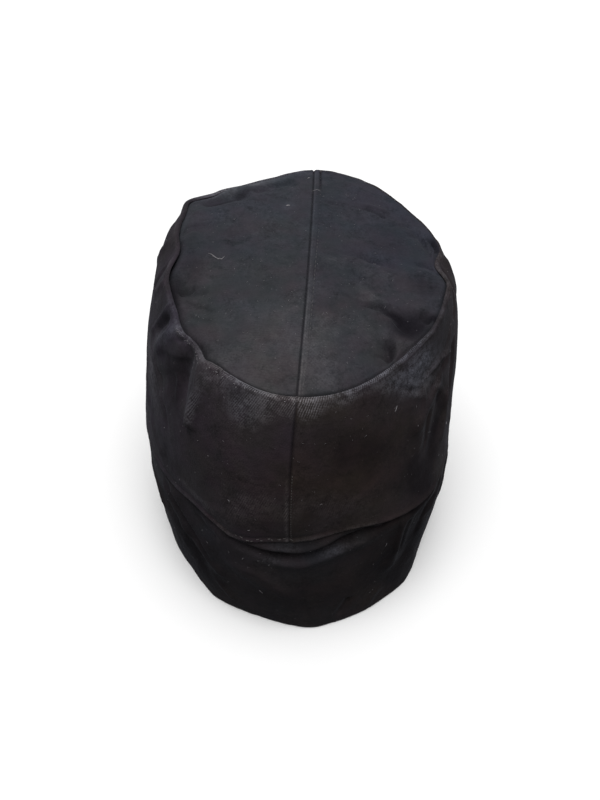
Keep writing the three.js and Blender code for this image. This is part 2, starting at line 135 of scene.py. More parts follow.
# Fine creases (negative) and ridges of the panels, each along a line of
# (angle, level) points: panel, points, spread to the left and to the right of
# the line's way in mm, and rise in mm. A small spread makes a sharp side.
FINE = [
    # pleat under the rim at the back left, and the hollow on its left
    ("wall", [(56.6, 1.0), (57.2, 0.938), (58.0, 0.829), (57.2, 0.704), (56.4, 0.592), (55.6, 0.50)], 5.0, 0.8, 1.3),
    ("wall", [(52.5, 1.0), (50.8, 0.94), (48.8, 0.787), (50.8, 0.662), (52.0, 0.550)], 3.5, 7.0, -1.4),
    ("wall", [(41.2, 0.700), (43.6, 0.620), (46.2, 0.55)], 2.5, 1.5, 0.6),
    ("wall", [(64.5, 1.0), (63.0, 0.95), (61.6, 0.91)], 1.2, 2.0, -0.7),
    ("wall", [(46.5, 1.0), (43.0, 0.95), (38.5, 0.92)], 1.4, 2.6, -0.8),
    # left side folds, up to the rim
    ("wall", [(21.0, 0.600), (24.0, 0.665), (28.4, 0.773), (32.0, 0.886), (34.0, 0.985)], 1.4, 7.0, 0.9),
    ("wall", [(18.0, 0.70), (22.0, 0.754), (25.4, 0.842), (27.4, 0.896), (28.5, 0.96)], 3.0, 1.6, -1.3),
    ("wall", [(22.8, 0.600), (31.2, 0.740), (43.0, 0.845), (50.0, 0.905), (54.8, 0.965)], 7.0, 2.6, 1.0),
    ("wall", [(11.0, 0.56), (17.0, 0.72), (22.0, 0.88), (24.5, 1.0)], 1.2, 3.4, 1.0),
    ("wall", [(2.0, 0.74), (9.0, 0.88), (12.0, 1.0)], 1.4, 3.0, 0.9),
    ("wall", [(13.2, 0.530), (24.0, 0.512), (33.0, 0.440), (40.6, 0.330)], 3.0, 1.2, 0.8),
    ("wall", [(22.0, 0.56), (30.5, 0.50), (38.6, 0.41), (45.2, 0.300)], 1.2, 4.0, -0.8),
    ("wall", [(24.8, 0.210), (32.4, 0.125), (40.0, 0.085)], 2.5, 1.4, 0.7),
    ("wall", [(8.0, 0.42), (16.0, 0.30), (24.0, 0.20)], 4.0, 2.0, 0.6),
    ("wall", [(352.0, 0.62), (358.0, 0.78), (0.5, 0.97)], 1.6, 3.2, -1.0),
    ("wall", [(343.0, 0.70), (346.0, 0.85), (347.0, 0.98)], 1.4, 3.2, 0.8),
    # right side folds
    ("wall", [(164.0, 0.690), (157.2, 0.697), (151.6, 0.706), (146.4, 0.713), (142.0, 0.720), (137.0, 0.700)], 1.6, 1.6, 1.0),
    ("wall", [(162.4, 0.613), (156.0, 0.621), (149.6, 0.622), (145.0, 0.590), (142.5, 0.530)], 2.4, 2.4, -1.1),
    ("wall", [(138.6, 0.665), (139.8, 0.596), (139.6, 0.521)], 1.3, 1.3, 0.6),
    ("wall", [(163.0, 0.80), (156.0, 0.725), (150.4, 0.662)], 3.0, 1.0, 0.8),
    ("wall", [(119.5, 0.97), (124.0, 0.862), (131.6, 0.731), (139.6, 0.640)], 1.2, 5.0, -0.6),
    ("wall", [(160.5, 0.450), (158.0, 0.350), (154.0, 0.260), (149.0, 0.160)], 2.6, 2.6, 0.9),
    ("wall", [(143.6, 0.470), (141.6, 0.380), (139.4, 0.254)], 2.5, 4.5, -0.9),
    ("wall", [(166.0, 0.70), (164.0, 0.50), (160.0, 0.30)], 2.0, 4.0, -1.0),
    ("wall", [(174.0, 0.98), (171.0, 0.86), (166.0, 0.78)], 1.4, 3.0, -1.0),
    ("wall", [(186.0, 0.97), (184.0, 0.84), (180.0, 0.70)], 2.0, 3.6, -1.2),
    ("wall", [(196.0, 0.97), (193.0, 0.82), (191.0, 0.66)], 1.6, 3.8, 0.9),
    # back, low
    ("wall", [(112.0, 0.30), (120.0, 0.27), (129.0, 0.29)], 5.0, 6.0, 0.4),
    ("wall", [(98.0, 0.46), (108.0, 0.44), (118.0, 0.47)], 7.0, 5.0, -0.4),
    ("wall", [(70.0, 0.34), (66.0, 0.24), (67.0, 0.12)], 5.0, 4.0, -0.45),
    # front, plain
    ("wall", [(232.0, 0.92), (236.0, 0.70), (237.0, 0.45)], 2.6, 5.0, 0.9),
    ("wall", [(252.0, 0.55), (262.0, 0.42), (276.0, 0.40)], 3.0, 6.0, -0.7),
    ("wall", [(306.0, 0.92), (303.0, 0.72), (304.0, 0.50)], 5.0, 2.4, 0.9),
    ("wall", [(318.0, 0.40), (326.0, 0.30), (336.0, 0.26)], 4.0, 3.0, 0.7),
    # the crease under the flap's seam, with the soft rolls above and below it
    ("flap", [(74.4, 0.950), (77.6, 0.925), (81.6, 0.895), (87.2, 0.850), (92.0, 0.840), (96.0, 0.846), (99.2, 0.860), (105.2, 0.885), (111.6, 0.915), (118.0, 0.955), (124.0, 0.985)], 0.8, 2.4, -2.0),
    ("flap", [(80.0, 0.830), (86.0, 0.790), (92.4, 0.764), (98.4, 0.787), (105.2, 0.821), (112.0, 0.853), (119.6, 0.895)], 2.0, 3.4, 1.1),
    ("flap", [(77.0, 0.975), (82.0, 0.950), (87.2, 0.915), (92.0, 0.905), (96.0, 0.915), (101.2, 0.940), (107.0, 0.965)], 2.0, 1.6, 1.3),
    ("flap", [(90.0, 0.852), (94.0, 0.868), (98.0, 0.900)], 0.9, 1.6, -1.0),
    ("flap", [(119.0, 0.975), (122.0, 0.968), (125.0, 0.975)], 1.6, 1.6, -2.6),
    ("flap", [(124.5, 0.985), (131.0, 0.978), (138.0, 0.978), (146.0, 0.978), (155.0, 0.982)], 2.2, 2.6, -2.6),
    # left long ridge and its hollow
    ("flap", [(41.0, 0.975), (45.6, 0.925), (50.0, 0.868), (55.2, 0.800), (59.6, 0.725), (62.8, 0.640), (65.2, 0.525)], 5.0, 1.0, 1.4),
    ("flap", [(36.0, 0.86), (42.0, 0.74), (48.4, 0.62), (54.4, 0.50), (59.6, 0.383)], 2.0, 4.5, -1.8),
    ("flap", [(58.0, 0.929), (62.8, 0.896), (68.4, 0.858)], 1.4, 3.0, -0.6),
    ("flap", [(20.0, 0.80), (28.0, 0.62), (33.0, 0.42)], 4.0, 1.6, 0.9),
    ("flap", [(8.0, 0.92), (13.0, 0.70), (17.0, 0.45)], 2.0, 4.0, -0.9),
    # back, low ridge, centre mark and hem
    ("flap", [(74.0, 0.683), (79.6, 0.642), (84.4, 0.558), (88.8, 0.458)], 3.4, 1.2, 0.7),
    ("flap", [(94.0, 0.508), (94.8, 0.338), (95.6, 0.129)], 1.2, 2.4, -0.6),
    ("flap", [(110.4, 0.300), (108.8, 0.200), (106.8, 0.070)], 2.0, 3.2, -1.6),
    ("flap", [(122.0, 0.22), (119.0, 0.12), (117.0, 0.04)], 3.0, 3.0, 0.7),
    ("flap", [(63.6, 0.300), (67.2, 0.212), (70.4, 0.121)], 3.0, 1.6, 0.7),
    ("flap", [(86.0, 0.33), (85.0, 0.20), (85.5, 0.07)], 2.0, 3.0, -0.4),
    # right folds
    ("flap", [(126.6, 0.960), (126.2, 0.825), (125.6, 0.679), (125.6, 0.529)], 3.6, 1.0, 1.0),
    ("flap", [(129.4, 0.954), (129.6, 0.80), (130.4, 0.62), (131.0, 0.45)], 1.2, 4.0, -1.3),
    ("flap", [(137.0, 0.93), (134.5, 0.80), (134.0, 0.66)], 2.4, 1.4, 0.6),
    ("flap", [(146.0, 0.86), (141.0, 0.66), (139.0, 0.45)], 2.0, 4.0, -0.9),
    ("flap", [(152.0, 0.93), (147.0, 0.78), (145.0, 0.60)], 3.6, 1.6, 0.8),
    ("flap", [(165.0, 0.95), (161.0, 0.70), (160.0, 0.42)], 4.0, 2.0, 0.9),
    ("flap", [(176.0, 0.96), (172.0, 0.74), (172.0, 0.50)], 2.0, 4.0, -0.9),
    # front, plain
    ("flap", [(200.0, 0.95), (204.0, 0.70), (203.0, 0.40)], 2.6, 5.0, 0.8),
    ("flap", [(222.0, 0.90), (219.0, 0.62), (221.0, 0.35)], 5.0, 3.0, -0.8),
    ("flap", [(252.0, 0.90), (256.0, 0.62), (254.0, 0.35)], 3.0, 6.0, -0.7),
    ("flap", [(284.0, 0.90), (281.0, 0.60), (283.0, 0.32)], 6.0, 3.0, 0.7),
    ("flap", [(318.0, 0.95), (322.0, 0.68), (321.0, 0.38)], 3.0, 5.0, -0.9),
    ("flap", [(338.0, 0.95), (335.0, 0.70), (337.0, 0.45)], 5.0, 2.4, 0.8),
]
# The same on the top, along (x, y) points in mm.
TOP_FINE = [
    # far left, where the top is pulled over the rim seam
    ([(60.0, -55.0), (55.5, -57.4), (50.2, -59.9), (43.8, -63.3), (36.0, -64.6), (31.0, -64.6)], 0.9, 2.6, -1.8),
    ([(54.5, -60.8), (47.2, -66.0), (39.6, -70.0), (32.4, -73.0)], 1.6, 1.6, 0.9),
    ([(28.6, -73.8), (23.0, -75.4), (17.6, -77.2), (8.7, -80.9)], 0.9, 2.2, -1.5),
    ([(15.7, -83.4), (9.0, -85.6), (3.0, -87.0)], 2.5, 2.5, 0.7),
    ([(24.0, -69.5), (16.0, -72.5), (9.0, -75.0)], 2.4, 1.6, 0.6),
    ([(64.1, -39.6), (59.1, -45.1), (52.9, -47.1), (45.2, -47.8)], 1.0, 3.4, 0.8),
    ([(67.0, -16.0), (66.5, -23.2), (63.5, -30.0), (58.5, -33.0), (50.5, -33.6)], 0.8, 4.5, -1.0),
    ([(65.3, -15.5), (62.6, -22.1), (58.7, -27.4)], 3.0, 3.0, 0.8),
    # left edge
    ([(63.0, 17.0), (58.9, 14.9), (54.0, 13.4)], 2.2, 2.2, -1.5),
    ([(60.0, 22.6), (54.0, 26.0), (47.2, 29.3), (41.0, 31.8)], 1.0, 2.6, -0.8),
    ([(56.5, 33.0), (49.5, 36.6), (43.0, 37.6)], 1.0, 2.4, -0.6),
    ([(50.2, 5.9), (44.3, 8.4), (37.1, 8.9)], 1.2, 2.4, -0.45),
    # crease and ridge, far right
    ([(-26.6, -56.6), (-32.1, -55.4), (-36.9, -53.3), (-43.3, -48.6)], 0.9, 0.7, -1.1),
    ([(-28.9, -58.8), (-36.8, -57.2), (-44.5, -53.2)], 2.6, 0.9, 0.7),
    ([(-32.0, -52.0), (-37.5, -49.5), (-42.0, -46.0)], 0.9, 2.4, 0.3),
    # long crease across the middle right, lower cloth standing over it
    ([(-13.7, -14.4), (-18.7, -14.6), (-23.8, -14.0), (-31.2, -10.9), (-36.8, -8.5), (-43.5, -6.3), (-50.9, -1.2)], 2.8, 0.7, -1.2),
    ([(-19.4, -11.4), (-27.5, -9.2), (-34.7, -5.8), (-42.9, -1.8)], 0.9, 5.0, 0.8),
    ([(-5.2, -10.9), (-8.5, -7.4), (-12.0, -5.8), (-16.9, -3.4)], 0.9, 3.0, 0.7),
    ([(-22.4, 0.0), (-26.5, 4.5), (-28.9, 10.1)], 1.0, 2.4, -0.55),
    ([(-18.8, 17.1), (-22.5, 19.6), (-24.4, 22.2)], 0.9, 2.0, -0.6),
    ([(-7.2, -60.9), (-11.3, -57.9), (-17.9, -55.4)], 0.9, 1.8, -0.5),
    ([(-42.2, -42.2), (-47.6, -44.0), (-53.1, -44.9), (-58.0, -42.1)], 1.0, 2.4, -0.6),
    # right edge
    ([(-53.7, -42.6), (-59.8, -39.8), (-64.4, -33.5), (-66.4, -21.0), (-68.0, -9.0)], 2.6, 0.9, 1.4),
    ([(-66.0, -37.5), (-68.2, -29.6), (-68.6, -20.5)], 1.8, 2.2, -2.4),
    ([(-56.6, -11.4), (-62.7, -9.7), (-67.7, -6.9), (-71.4, 1.0)], 1.8, 0.8, -1.5),
    ([(-53.9, -5.2), (-61.1, -3.0), (-67.2, 1.5)], 1.0, 3.4, 0.7),
    # the deep one at the back right
    ([(-28.5, 22.7), (-35.0, 26.7), (-39.9, 27.2), (-45.0, 30.2), (-47.8, 34.5), (-51.6, 37.6), (-55.3, 41.1)], 2.4, 0.8, -1.2),
    ([(-29.2, 25.7), (-36.0, 28.8), (-42.3, 32.6), (-47.4, 38.6)], 0.9, 3.8, 0.9),
    ([(-57.5, 30.0), (-61.5, 32.6), (-64.9, 33.6)], 1.8, 1.8, -1.6),
    ([(-51.0, 26.0), (-57.0, 26.6), (-63.0, 27.0)], 2.0, 3.0, 0.6),
    # by the near right rim
    ([(-41.2, 44.6), (-43.0, 50.1), (-44.1, 58.0)], 0.8, 3.6, -1.9),
    ([(-46.0, 45.6), (-47.5, 51.8), (-47.2, 57.7)], 2.4, 1.4, 0.5),
    ([(-35.6, 55.6), (-41.4, 54.4)], 1.0, 1.2, -0.6),
    # small ones
    ([(32.8, 44.3), (25.7, 46.5), (20.2, 46.1)], 1.2, 2.4, -0.4),
    ([(44.8, -23.7), (36.7, -20.5), (28.8, -20.5)], 1.2, 2.8, -0.35),
    ([(27.6, 1.7), (21.1, 4.5), (14.0, 2.7)], 1.2, 2.6, -0.35),
    ([(45.4, 43.4), (41.0, 49.6), (37.4, 55.5)], 1.4, 1.6, -0.6),
    ([(35.9, 58.2), (30.8, 62.5), (26.5, 67.6)], 1.2, 1.6, -0.5),
    ([(-12.0, 50.0), (-20.0, 55.0), (-28.0, 57.0)], 1.6, 2.8, -0.35),
    ([(-52.0, 2.0), (-60.0, 6.0), (-66.0, 12.0)], 1.6, 2.8, -0.5),
]

# Places painted paler (wear above 0) and darker (below 0): mostly painted highlights on lit sides of folds and painted
# shade in creases, dents and hollows, with some rubbed wear; with the broad
# swells and hollows that go with them: panel, middle, half length and half width as
# (across, up) in mm, wear, rise in mm. The middle is (angle, level) or, on the top, (x, y).
SHADE_LIGHT_AND_WEAR_PATCHES = [
    ("top", (-11.9, 55.6), (-2.1, -18.7), (-10.6, 1.1), 0.2, 0.6),
    ("top", (-11.5, 73.8), (-9.7, -3.6), (-0.8, 4.7), 0.18, 0),
    ("top", (-33.9, 19.6), (-6.7, 5.7), (1.0, 3.1), 0.3, 0.8),
    ("top", (-13.3, -5.3), (-8.1, -0.8), (-0.2, 3.9), 0.22, 0.7),
    ("top", (-34.7, 0.5), (-9.2, 4.1), (1.0, 4.7), 0.16, 0.6),
    ("top", (11.7, -51.9), (-3.3, -0.4), (-0.2, 3.9), 0.25, 0.3),
    ("top", (17.7, 47.7), (-15.5, 0.0), (-2.1, 19.1), 0.08, 0),
    ("top", (-55.5, 34.9), (-10.0, 1.1), (0.1, 5.6), -0.85, -1.4),
    ("top", (-43.0, 28.2), (-6.0, 4.1), (0.8, 1.1), -0.9, 0),
    ("top", (-43.7, 50.5), (-0.0, -8.0), (-2.8, 0.4), -0.7, -0.9),
    ("top", (64.5, 14.9), (1.0, -11.5), (-3.6, 0.4), -0.8, -0.9),
    ("top", (53.7, 16.8), (-6.3, 0.6), (-0.9, 3.6), -0.4, -0.6),
    ("top", (56.2, 36.9), (-7.3, 13.6), (2.1, 1.6), -0.2, -0.2),
    ("top", (44.8, 55.0), (-4.6, 5.6), (1.2, 1.8), -0.25, 0),
    ("top", (54.6, -57.0), (-12.3, -2.6), (-0.3, 2.8), -0.5, 0),
    ("top", (27.9, -70.0), (-9.1, -2.9), (-0.4, 1.8), -0.35, 0),
    ("top", (-68.4, -27.7), (-2.1, 12.6), (1.5, 1.4), -0.85, -1),
    ("top", (-64.7, 30.7), (-5.1, -4.7), (-0.9, 2.2), -0.35, 0),
    ("top", (43.1, -24.3), (-16.0, 0.0), (-0.7, 13.7), -0.18, 0),
    ("top", (-46.8, -30.1), (-14.9, 14.5), (8.9, 17.8), -0.28, 0),
    ("top", (-58.4, 11.6), (-7.1, 8.8), (4.7, 8.9), -0.3, 0),
    ("top", (59.1, -4.0), (1.2, -11.3), (-9.7, 1.8), -0.3, 0),
    ("wall", (92.0, 0.971), (7.3, 0.0), (0.5, -4.5), 0.4, 0),
    ("wall", (104.4, 0.967), (11.8, -1.0), (0.9, -4.5), 0.35, 0),
    ("wall", (77.6, 0.867), (8.6, -3.2), (-3.0, -10.3), 0.28, 0),
    ("wall", (136.6, 0.835), (12.8, -4.0), (6.7, -11.6), 0.6, 0.8),
    ("wall", (118.4, 0.933), (12.3, -4.0), (2.0, -6.8), 0.28, 0),
    ("wall", (134.4, 0.662), (12.1, -10.7), (0.0, -1.8), 0.25, 0.5),
    ("wall", (58.0, 0.708), (1.7, 19.2), (3.1, 1.0), 0.42, 0.5),
    ("wall", (14.0, 0.483), (-22.2, 12.7), (6.2, 5.2), 0.3, 0.6),
    ("wall", (35.2, 0.221), (-12.9, 7.3), (7.4, 7.1), 0.15, 0),
    ("wall", (77.6, 0.246), (11.8, 3.9), (0.0, -11.6), 0.16, 0),
    ("wall", (102.0, 0.221), (19.7, -3.2), (2.7, -17.7), 0.16, 0),
    ("wall", (56.0, 0.092), (22.2, 0.0), (-1.8, -3.2), 0.35, 0),
    ("wall", (40.8, 0.633), (-6.3, 17.8), (9.2, 8.5), -0.7, -1),
    ("wall", (50.8, 0.362), (4.8, 19.9), (7.4, 5.8), -0.25, 0),
    ("wall", (24.4, 0.850), (5.0, 10.5), (7.4, 4.8), -0.5, 0),
    ("wall", (107.2, 0.654), (21.7, -12.4), (0.0, -13.7), -0.3, 0),
    ("wall", (131.2, 0.458), (3.2, 12.6), (10.8, -9.0), -0.32, 0),
    ("wall", (132.0, 0.158), (7.4, 4.0), (9.9, -10.3), -0.3, 0),
    ("wall", (87.6, 0.637), (4.3, 0.4), (0.0, -15.5), -0.16, 0),
    ("wall", (69.6, 0.704), (6.7, 3.9), (1.1, -10.9), -0.12, 0),
    ("wall", (149.2, 0.312), (7.4, 8.7), (4.0, -3.2), -0.35, -0.3),
    ("wall", (142.8, 0.200), (8.0, 9.4), (4.6, -3.6), -0.4, 0),
    ("flap", (62.0, 0.887), (12.1, -0.9), (-3.5, -7.7), 0.25, 0.5),
    ("flap", (105.6, 0.842), (14.8, 0.0), (0.6, -3.0), 0.3, 0.5),
    ("flap", (88.0, 0.950), (10.4, -0.8), (-0.3, -4.6), 0.25, 0),
    ("flap", (82.0, 0.817), (12.8, -1.7), (-0.4, -4.8), 0.2, 0),
    ("flap", (48.4, 0.304), (15.5, -10.7), (-12.8, -17.3), -0.75, -1),
    ("flap", (46.0, 0.792), (7.4, -8.0), (-8.3, -11.3), -0.35, 0),
    ("flap", (133.6, 0.979), (11.8, 2.4), (5.9, -9.5), -0.8, 0),
    ("flap", (137.2, 0.458), (6.3, 22.6), (10.5, -13.4), -0.6, 0),
    ("flap", (120.4, 0.550), (9.2, 12.9), (8.6, -13.5), -0.3, 0),
    ("flap", (93.2, 0.338), (29.6, 0.0), (0.0, -10.3), -0.35, 0),
    ("flap", (66.4, 0.321), (11.8, -1.6), (-4.9, -12.2), -0.35, 0),
    ("flap", (83.6, 0.879), (14.7, -5.6), (0.0, -2.0), -0.45, 0),
    ("flap", (113.2, 0.925), (19.7, 4.0), (0.3, -1.5), -0.6, 0),
    ("top", (22.4, -80.9), (-15.0, -5.5), (-0.6, 3.5), 0.35, 0.3),
    ("top", (44.7, -69.6), (-9.9, -8.0), (2.4, -2.6), 0.5, 0.3),
    ("top", (5.0, -86.9), (-4.6, 0.7), (0, 3.5), 0.25, 0.2),
    ("top", (-65.7, 31.1), (-2.0, 0.7), (0.3, 1.5), -0.9, -0.3),
    ("top", (-29.9, 21.2), (-4.9, 1.5), (0.4, 1.3), 0.35, 0.3),
    ("top", (46.5, -67.8), (-10.0, -7.9), (-0.2, 1.9), 0.75, 0.2),
    ("top", (33.6, -78.2), (-4.8, -3.2), (-0.6, 3.9), 0.35, 0.2),
    ("top", (58.3, -8.7), (-6.1, 0.0), (-4.3, 28.3), -0.2, 0),
    ("top", (60.2, 14.9), (-4.4, -2.2), (-3.8, 8.6), -0.25, 0),
    ("wall", (29.2, 0.787), (17.6, 21.8), (4.8, 0.0), 0.28, 0.2),
    ("wall", (136.8, 0.912), (4.9, 10.5), (11.1, -12.6), 0.32, 0),
    ("wall", (132.4, 0.771), (17.3, -11.3), (1.3, -5.9), 0.3, 0),
    ("wall", (114.4, 0.492), (22.2, -11.3), (2.7, -15.1), -0.2, 0),
    ("wall", (137.6, 0.029), (12.8, 3.1), (7.8, -9.0), -0.35, 0),
    ("wall", (82.8, 0.283), (12.9, 2.4), (-1.5, -15.5), 0.14, 0),
    ("flap", (61.6, 0.533), (9.6, -6.9), (-25.8, -48.2), -0.25, 0),
    ("flap", (128.8, 0.300), (11.1, 9.0), (18.9, -31.6), -0.25, 0),
    ("flap", (90.0, 0.346), (19.0, 4.4), (0.0, -9.6), 0.2, 0),
    ("top", (-9.0, 46.4), (-7.8, -0.7), (-0.8, 8.6), 0.16, 0),
    ("wall", (93.2, 0.992), (4.3, -0.4), (0.3, -2.0), 0.45, 0),
    ("wall", (-35.6, 0.817), (4.8, 13.1), (-5.9, -3.6), -0.5, 0),
    ("wall", (153.6, 0.388), (6.3, -13.0), (-5.9, 2.2), -0.6, -0.4),
    ("wall", (155.2, 0.121), (-7.4, 23.0), (8.6, -6.7), 0.3, 0.3),
    ("wall", (152.4, 0.487), (21.7, -26.5), (-3.7, 1.8), 0.35, 0.5),
    ("wall", (135.2, 0.192), (12.1, -8.5), (-1.0, -8.4), -0.2, 0),
    ("flap", (43.6, 0.342), (21.6, -14.9), (-19.4, -23.9), -0.55, 0),
    ("flap", (141.2, 0.500), (12.3, 19.9), (16.6, -21.5), -0.45, 0),
    ("wall", (33.6, 0.067), (10.8, 23.1), (6.2, 4.6), 0.25, 0),
    # far edge at the left: a painted shade line inside its painted highlight band; and painted highlight and shade on
    # the right
    ("top", (48.0, -59.0), (-12.0, -8.0), (1.2, -1.8), -0.4, -0.5),
    ("wall", (127.0, 0.860), (9.0, -2.0), (3.0, -8.5), 0.42, 0),
    ("wall", (133.0, 0.170), (18.0, 2.0), (-2.0, 12.0), -0.2, 0),
    ("flap", (126.0, 0.450), (30.0, 0.0), (0.0, 22.0), -0.25, 0),
    ("top", (-50.6, 37.2), (-3.1, 3.2), (0.7, 0.6), -0.6, 0),
    ("top", (-61.8, 30.7), (-5.8, 0.0), (0.7, 3.2), -0.3, -0.6),
    ("top", (-47.2, 51.4), (-0.5, -6.0), (-1.9, 0.2), 0.35, 0.3),
    ("top", (-13.6, 52.2), (-11.6, -1.1), (1.3, 19.9), 0.08, 0),
    ("wall", (36.4, 0.921), (15.7, 23.0), (9.5, 4.8), 0.15, 0.4),
    ("wall", (93.6, 0.871), (6.0, -0.6), (0.0, -6.5), 0.2, 0),
    ("wall", (109.2, 0.975), (9.9, -1.6), (0.9, -4.5), 0.12, 0),
    ("wall", (130.0, 0.825), (12.8, -6.5), (3.7, -11.6), 0.3, 0),
    ("wall", (123.6, 0.300), (18.5, -12.1), (0.0, -14.7), -0.35, 0),
    ("wall", (153.2, 0.392), (5.5, 13.3), (6.5, -5.2), -0.3, 0),
    ("wall", (37.6, 0.150), (10.4, -9.0), (-8.1, -8.0), -0.45, 0),
    ("flap", (126.4, 0.667), (6.7, 23.9), (19.7, -33.4), -0.45, 0),
    ("flap", (47.6, 0.462), (-23.1, -68.8), (-20.0, -31.0), -0.35, 0),
    ("top", (27.9, -77.5), (-18.1, -4.8), (-0.8, 4.7), 0.25, 0.4),
    ("top", (-36.9, 22.7), (-11.8, 9.2), (1.2, 2.3), 0.15, 0.2),
    ("top", (-53.3, 40.6), (-12.6, 3.3), (0.0, 5.5), -0.75, -1.2),
    ("top", (-0.7, 53.4), (-9.4, -0.8), (-0.7, 16.2), 0.12, 0),
    ("top", (-64.7, 10.6), (-3.5, 10.9), (5.8, 5.3), -0.3, 0),
    ("wall", (20.8, 0.704), (1.8, 9.3), (9.9, 9.0), 0.15, 0.2),
    ("wall", (21.2, 0.429), (-14.8, 14.5), (6.5, 5.6), 0.35, 0),
    ("wall", (92.8, 0.921), (6.9, 1.3), (0.9, -4.2), 0.3, 0),
    ("wall", (137.2, 0.675), (12.9, -6.2), (2.5, -7.1), 0.45, 0.5),
    ("wall", (147.2, 0.808), (8.9, 1.9), (9.9, -11.0), 0.3, 0),
    ("wall", (106.8, 0.571), (22.7, -9.3), (2.7, -14.2), -0.25, 0),
    ("wall", (142.0, 0.271), (6.3, 16.5), (14.1, -12.1), -0.65, 0),
    ("wall", (136.0, 0.100), (6.9, 2.6), (6.8, -6.9), -0.45, 0),
    ("wall", (45.2, 0.583), (-9.2, 12.1), (6.4, 4.8), -0.3, 0),
    ("wall", (43.6, 0.125), (10.8, -3.5), (-6.9, -7.9), -0.3, 0),
    ("flap", (90.0, 0.392), (25.9, 2.0), (0.0, -18.6), -0.32, 0),
    ("flap", (127.2, 0.308), (11.2, 6.9), (11.8, -20.7), -0.4, 0),
    ("flap", (52.4, 0.229), (11.8, -4.0), (-12.9, -18.9), -0.35, 0),
]

WALL_LEVELS_STEP = 0.1  # the CAD wall's mesh row, which sets where the top meets it


def bell(d, w):
    return np.exp(-(np.asarray(d, float) ** 2) / (w * w))


def smooth(x, a, b):
    t = np.clip((np.asarray(x, float) - a) / (b - a), 0, 1)
    return t * t * (3 - 2 * t)


def turn_to(a):
    return (np.asarray(a, float) + 180) % 360 - 180


def ring(name, deg):
    z, hw, hl, sx, sy, square, skew, egg, lean, twist = SECTIONS[name]
    w, a = WAVES[name], np.radians(deg)
    r = 1 / np.hypot(np.cos(a) / hw, np.sin(a) / hl)
    r = r * (
        1
        + square * np.cos(4 * a)
        + skew * np.sin(4 * a)
        + egg * np.sin(3 * a)
        + lean * np.cos(3 * a)
        + twist * np.sin(2 * a)
    )
    z = z + sum(w[2 * k - 2] * np.cos(k * a) + w[2 * k - 1] * np.sin(k * a) for k in (1, 2, 3, 4))
    return np.stack([sx + r * np.cos(a), sy + r * np.sin(a), z], -1)


def through(a, b, c, q):
    q = q[..., None]
    return a * (1 - q) * (1 - 2 * q) + b * 4 * q * (1 - q) + c * q * (2 * q - 1)


def to_segment(x, y, x0, y0, x1, y1):
    dx, dy = x1 - x0, y1 - y0
    t = np.clip(((x - x0) * dx + (y - y0) * dy) / (dx * dx + dy * dy), 0, 1)
    return np.hypot(x - x0 - t * dx, y - y0 - t * dy)


def to_line(x, y, points):
    """Distance from (x, y) to a line of points, signed by its side, and how far along, 0 to 1."""
    pts = np.asarray(points, float)
    lens = np.hypot(*(pts[1:] - pts[:-1]).T)
    total, run = lens.sum(), 0.0
    best = np.full(np.shape(x), 1e9)
    side_of = np.zeros(np.shape(x))
    along = np.zeros(np.shape(x))
    for (x0, y0), (x1, y1), n in zip(pts[:-1], pts[1:], lens):
        dx, dy = x1 - x0, y1 - y0
        t = np.clip(((x - x0) * dx + (y - y0) * dy) / (dx * dx + dy * dy), 0, 1)
        d = np.hypot(x - x0 - t * dx, y - y0 - t * dy)
        near = d < best
        best = np.where(near, d, best)
        cross = (dx * (y - y0) - dy * (x - x0)) / n
        side_of = np.where(near, cross, side_of)
        along = np.where(near, (run + t * n) / total, along)
        run += n
    return best, side_of, along


def crease(x, y, points, left, right, rise):
    """A fold along a line: left and right are how far it spreads to each side of its way, mm."""
    d, s, t = to_line(x, y, points)
    w = np.maximum(np.where(s > 0, left, right), 0.62 * abs(rise))  # never steeper than cloth lies
    return rise * bell(d, w) * smooth(t, -0.02, 0.22) * (1 - smooth(t, 0.78, 1.02))


# --- noise: the same every run
def lattice(seed):
    r = np.random.RandomState(seed)
    table = r.permutation(256)
    g = r.normal(size=(256, 3))
    return np.concatenate([table, table]), g / np.linalg.norm(g, axis=1, keepdims=True)


def noise(p, seed=1):
    """Smooth noise of points p (..., 3), about -1 to 1."""
    table, grad = lattice(seed)
    i = np.floor(p).astype(int)
    f = p - i
    u = f * f * f * (f * (f * 6 - 15) + 10)
    i &= 255
    out = 0.0
    for cx in (0, 1):
        for cy in (0, 1):
            for cz in (0, 1):
                h = table[(table[(table[(i[..., 0] + cx) & 255] + i[..., 1] + cy) & 255] + i[..., 2] + cz) & 255]
                d = f - (cx, cy, cz)
                w = (
                    (u[..., 0] if cx else 1 - u[..., 0])
                    * (u[..., 1] if cy else 1 - u[..., 1])
                    * (u[..., 2] if cz else 1 - u[..., 2])
                )
                out = out + w * (grad[h] * d).sum(-1)
    return out * 1.5


def folds_noise(p, size, seed, octaves=2):
    return sum(noise(p / size * 2**k + 17.3 * k, seed + k) * 0.5**k for k in range(octaves))


def crumple(p, size, seed):
    """Small sharp-crested wrinkles that come and go, about -0.5 to 0.5."""
    sharp = 0.42 - np.sqrt(noise(p / size + 0.4 * noise(p / size * 0.7, seed + 9)[..., None], seed) ** 2 + 0.006)
    return sharp * smooth(noise(p / (size * 2.6), seed + 5), -0.15, 0.55)


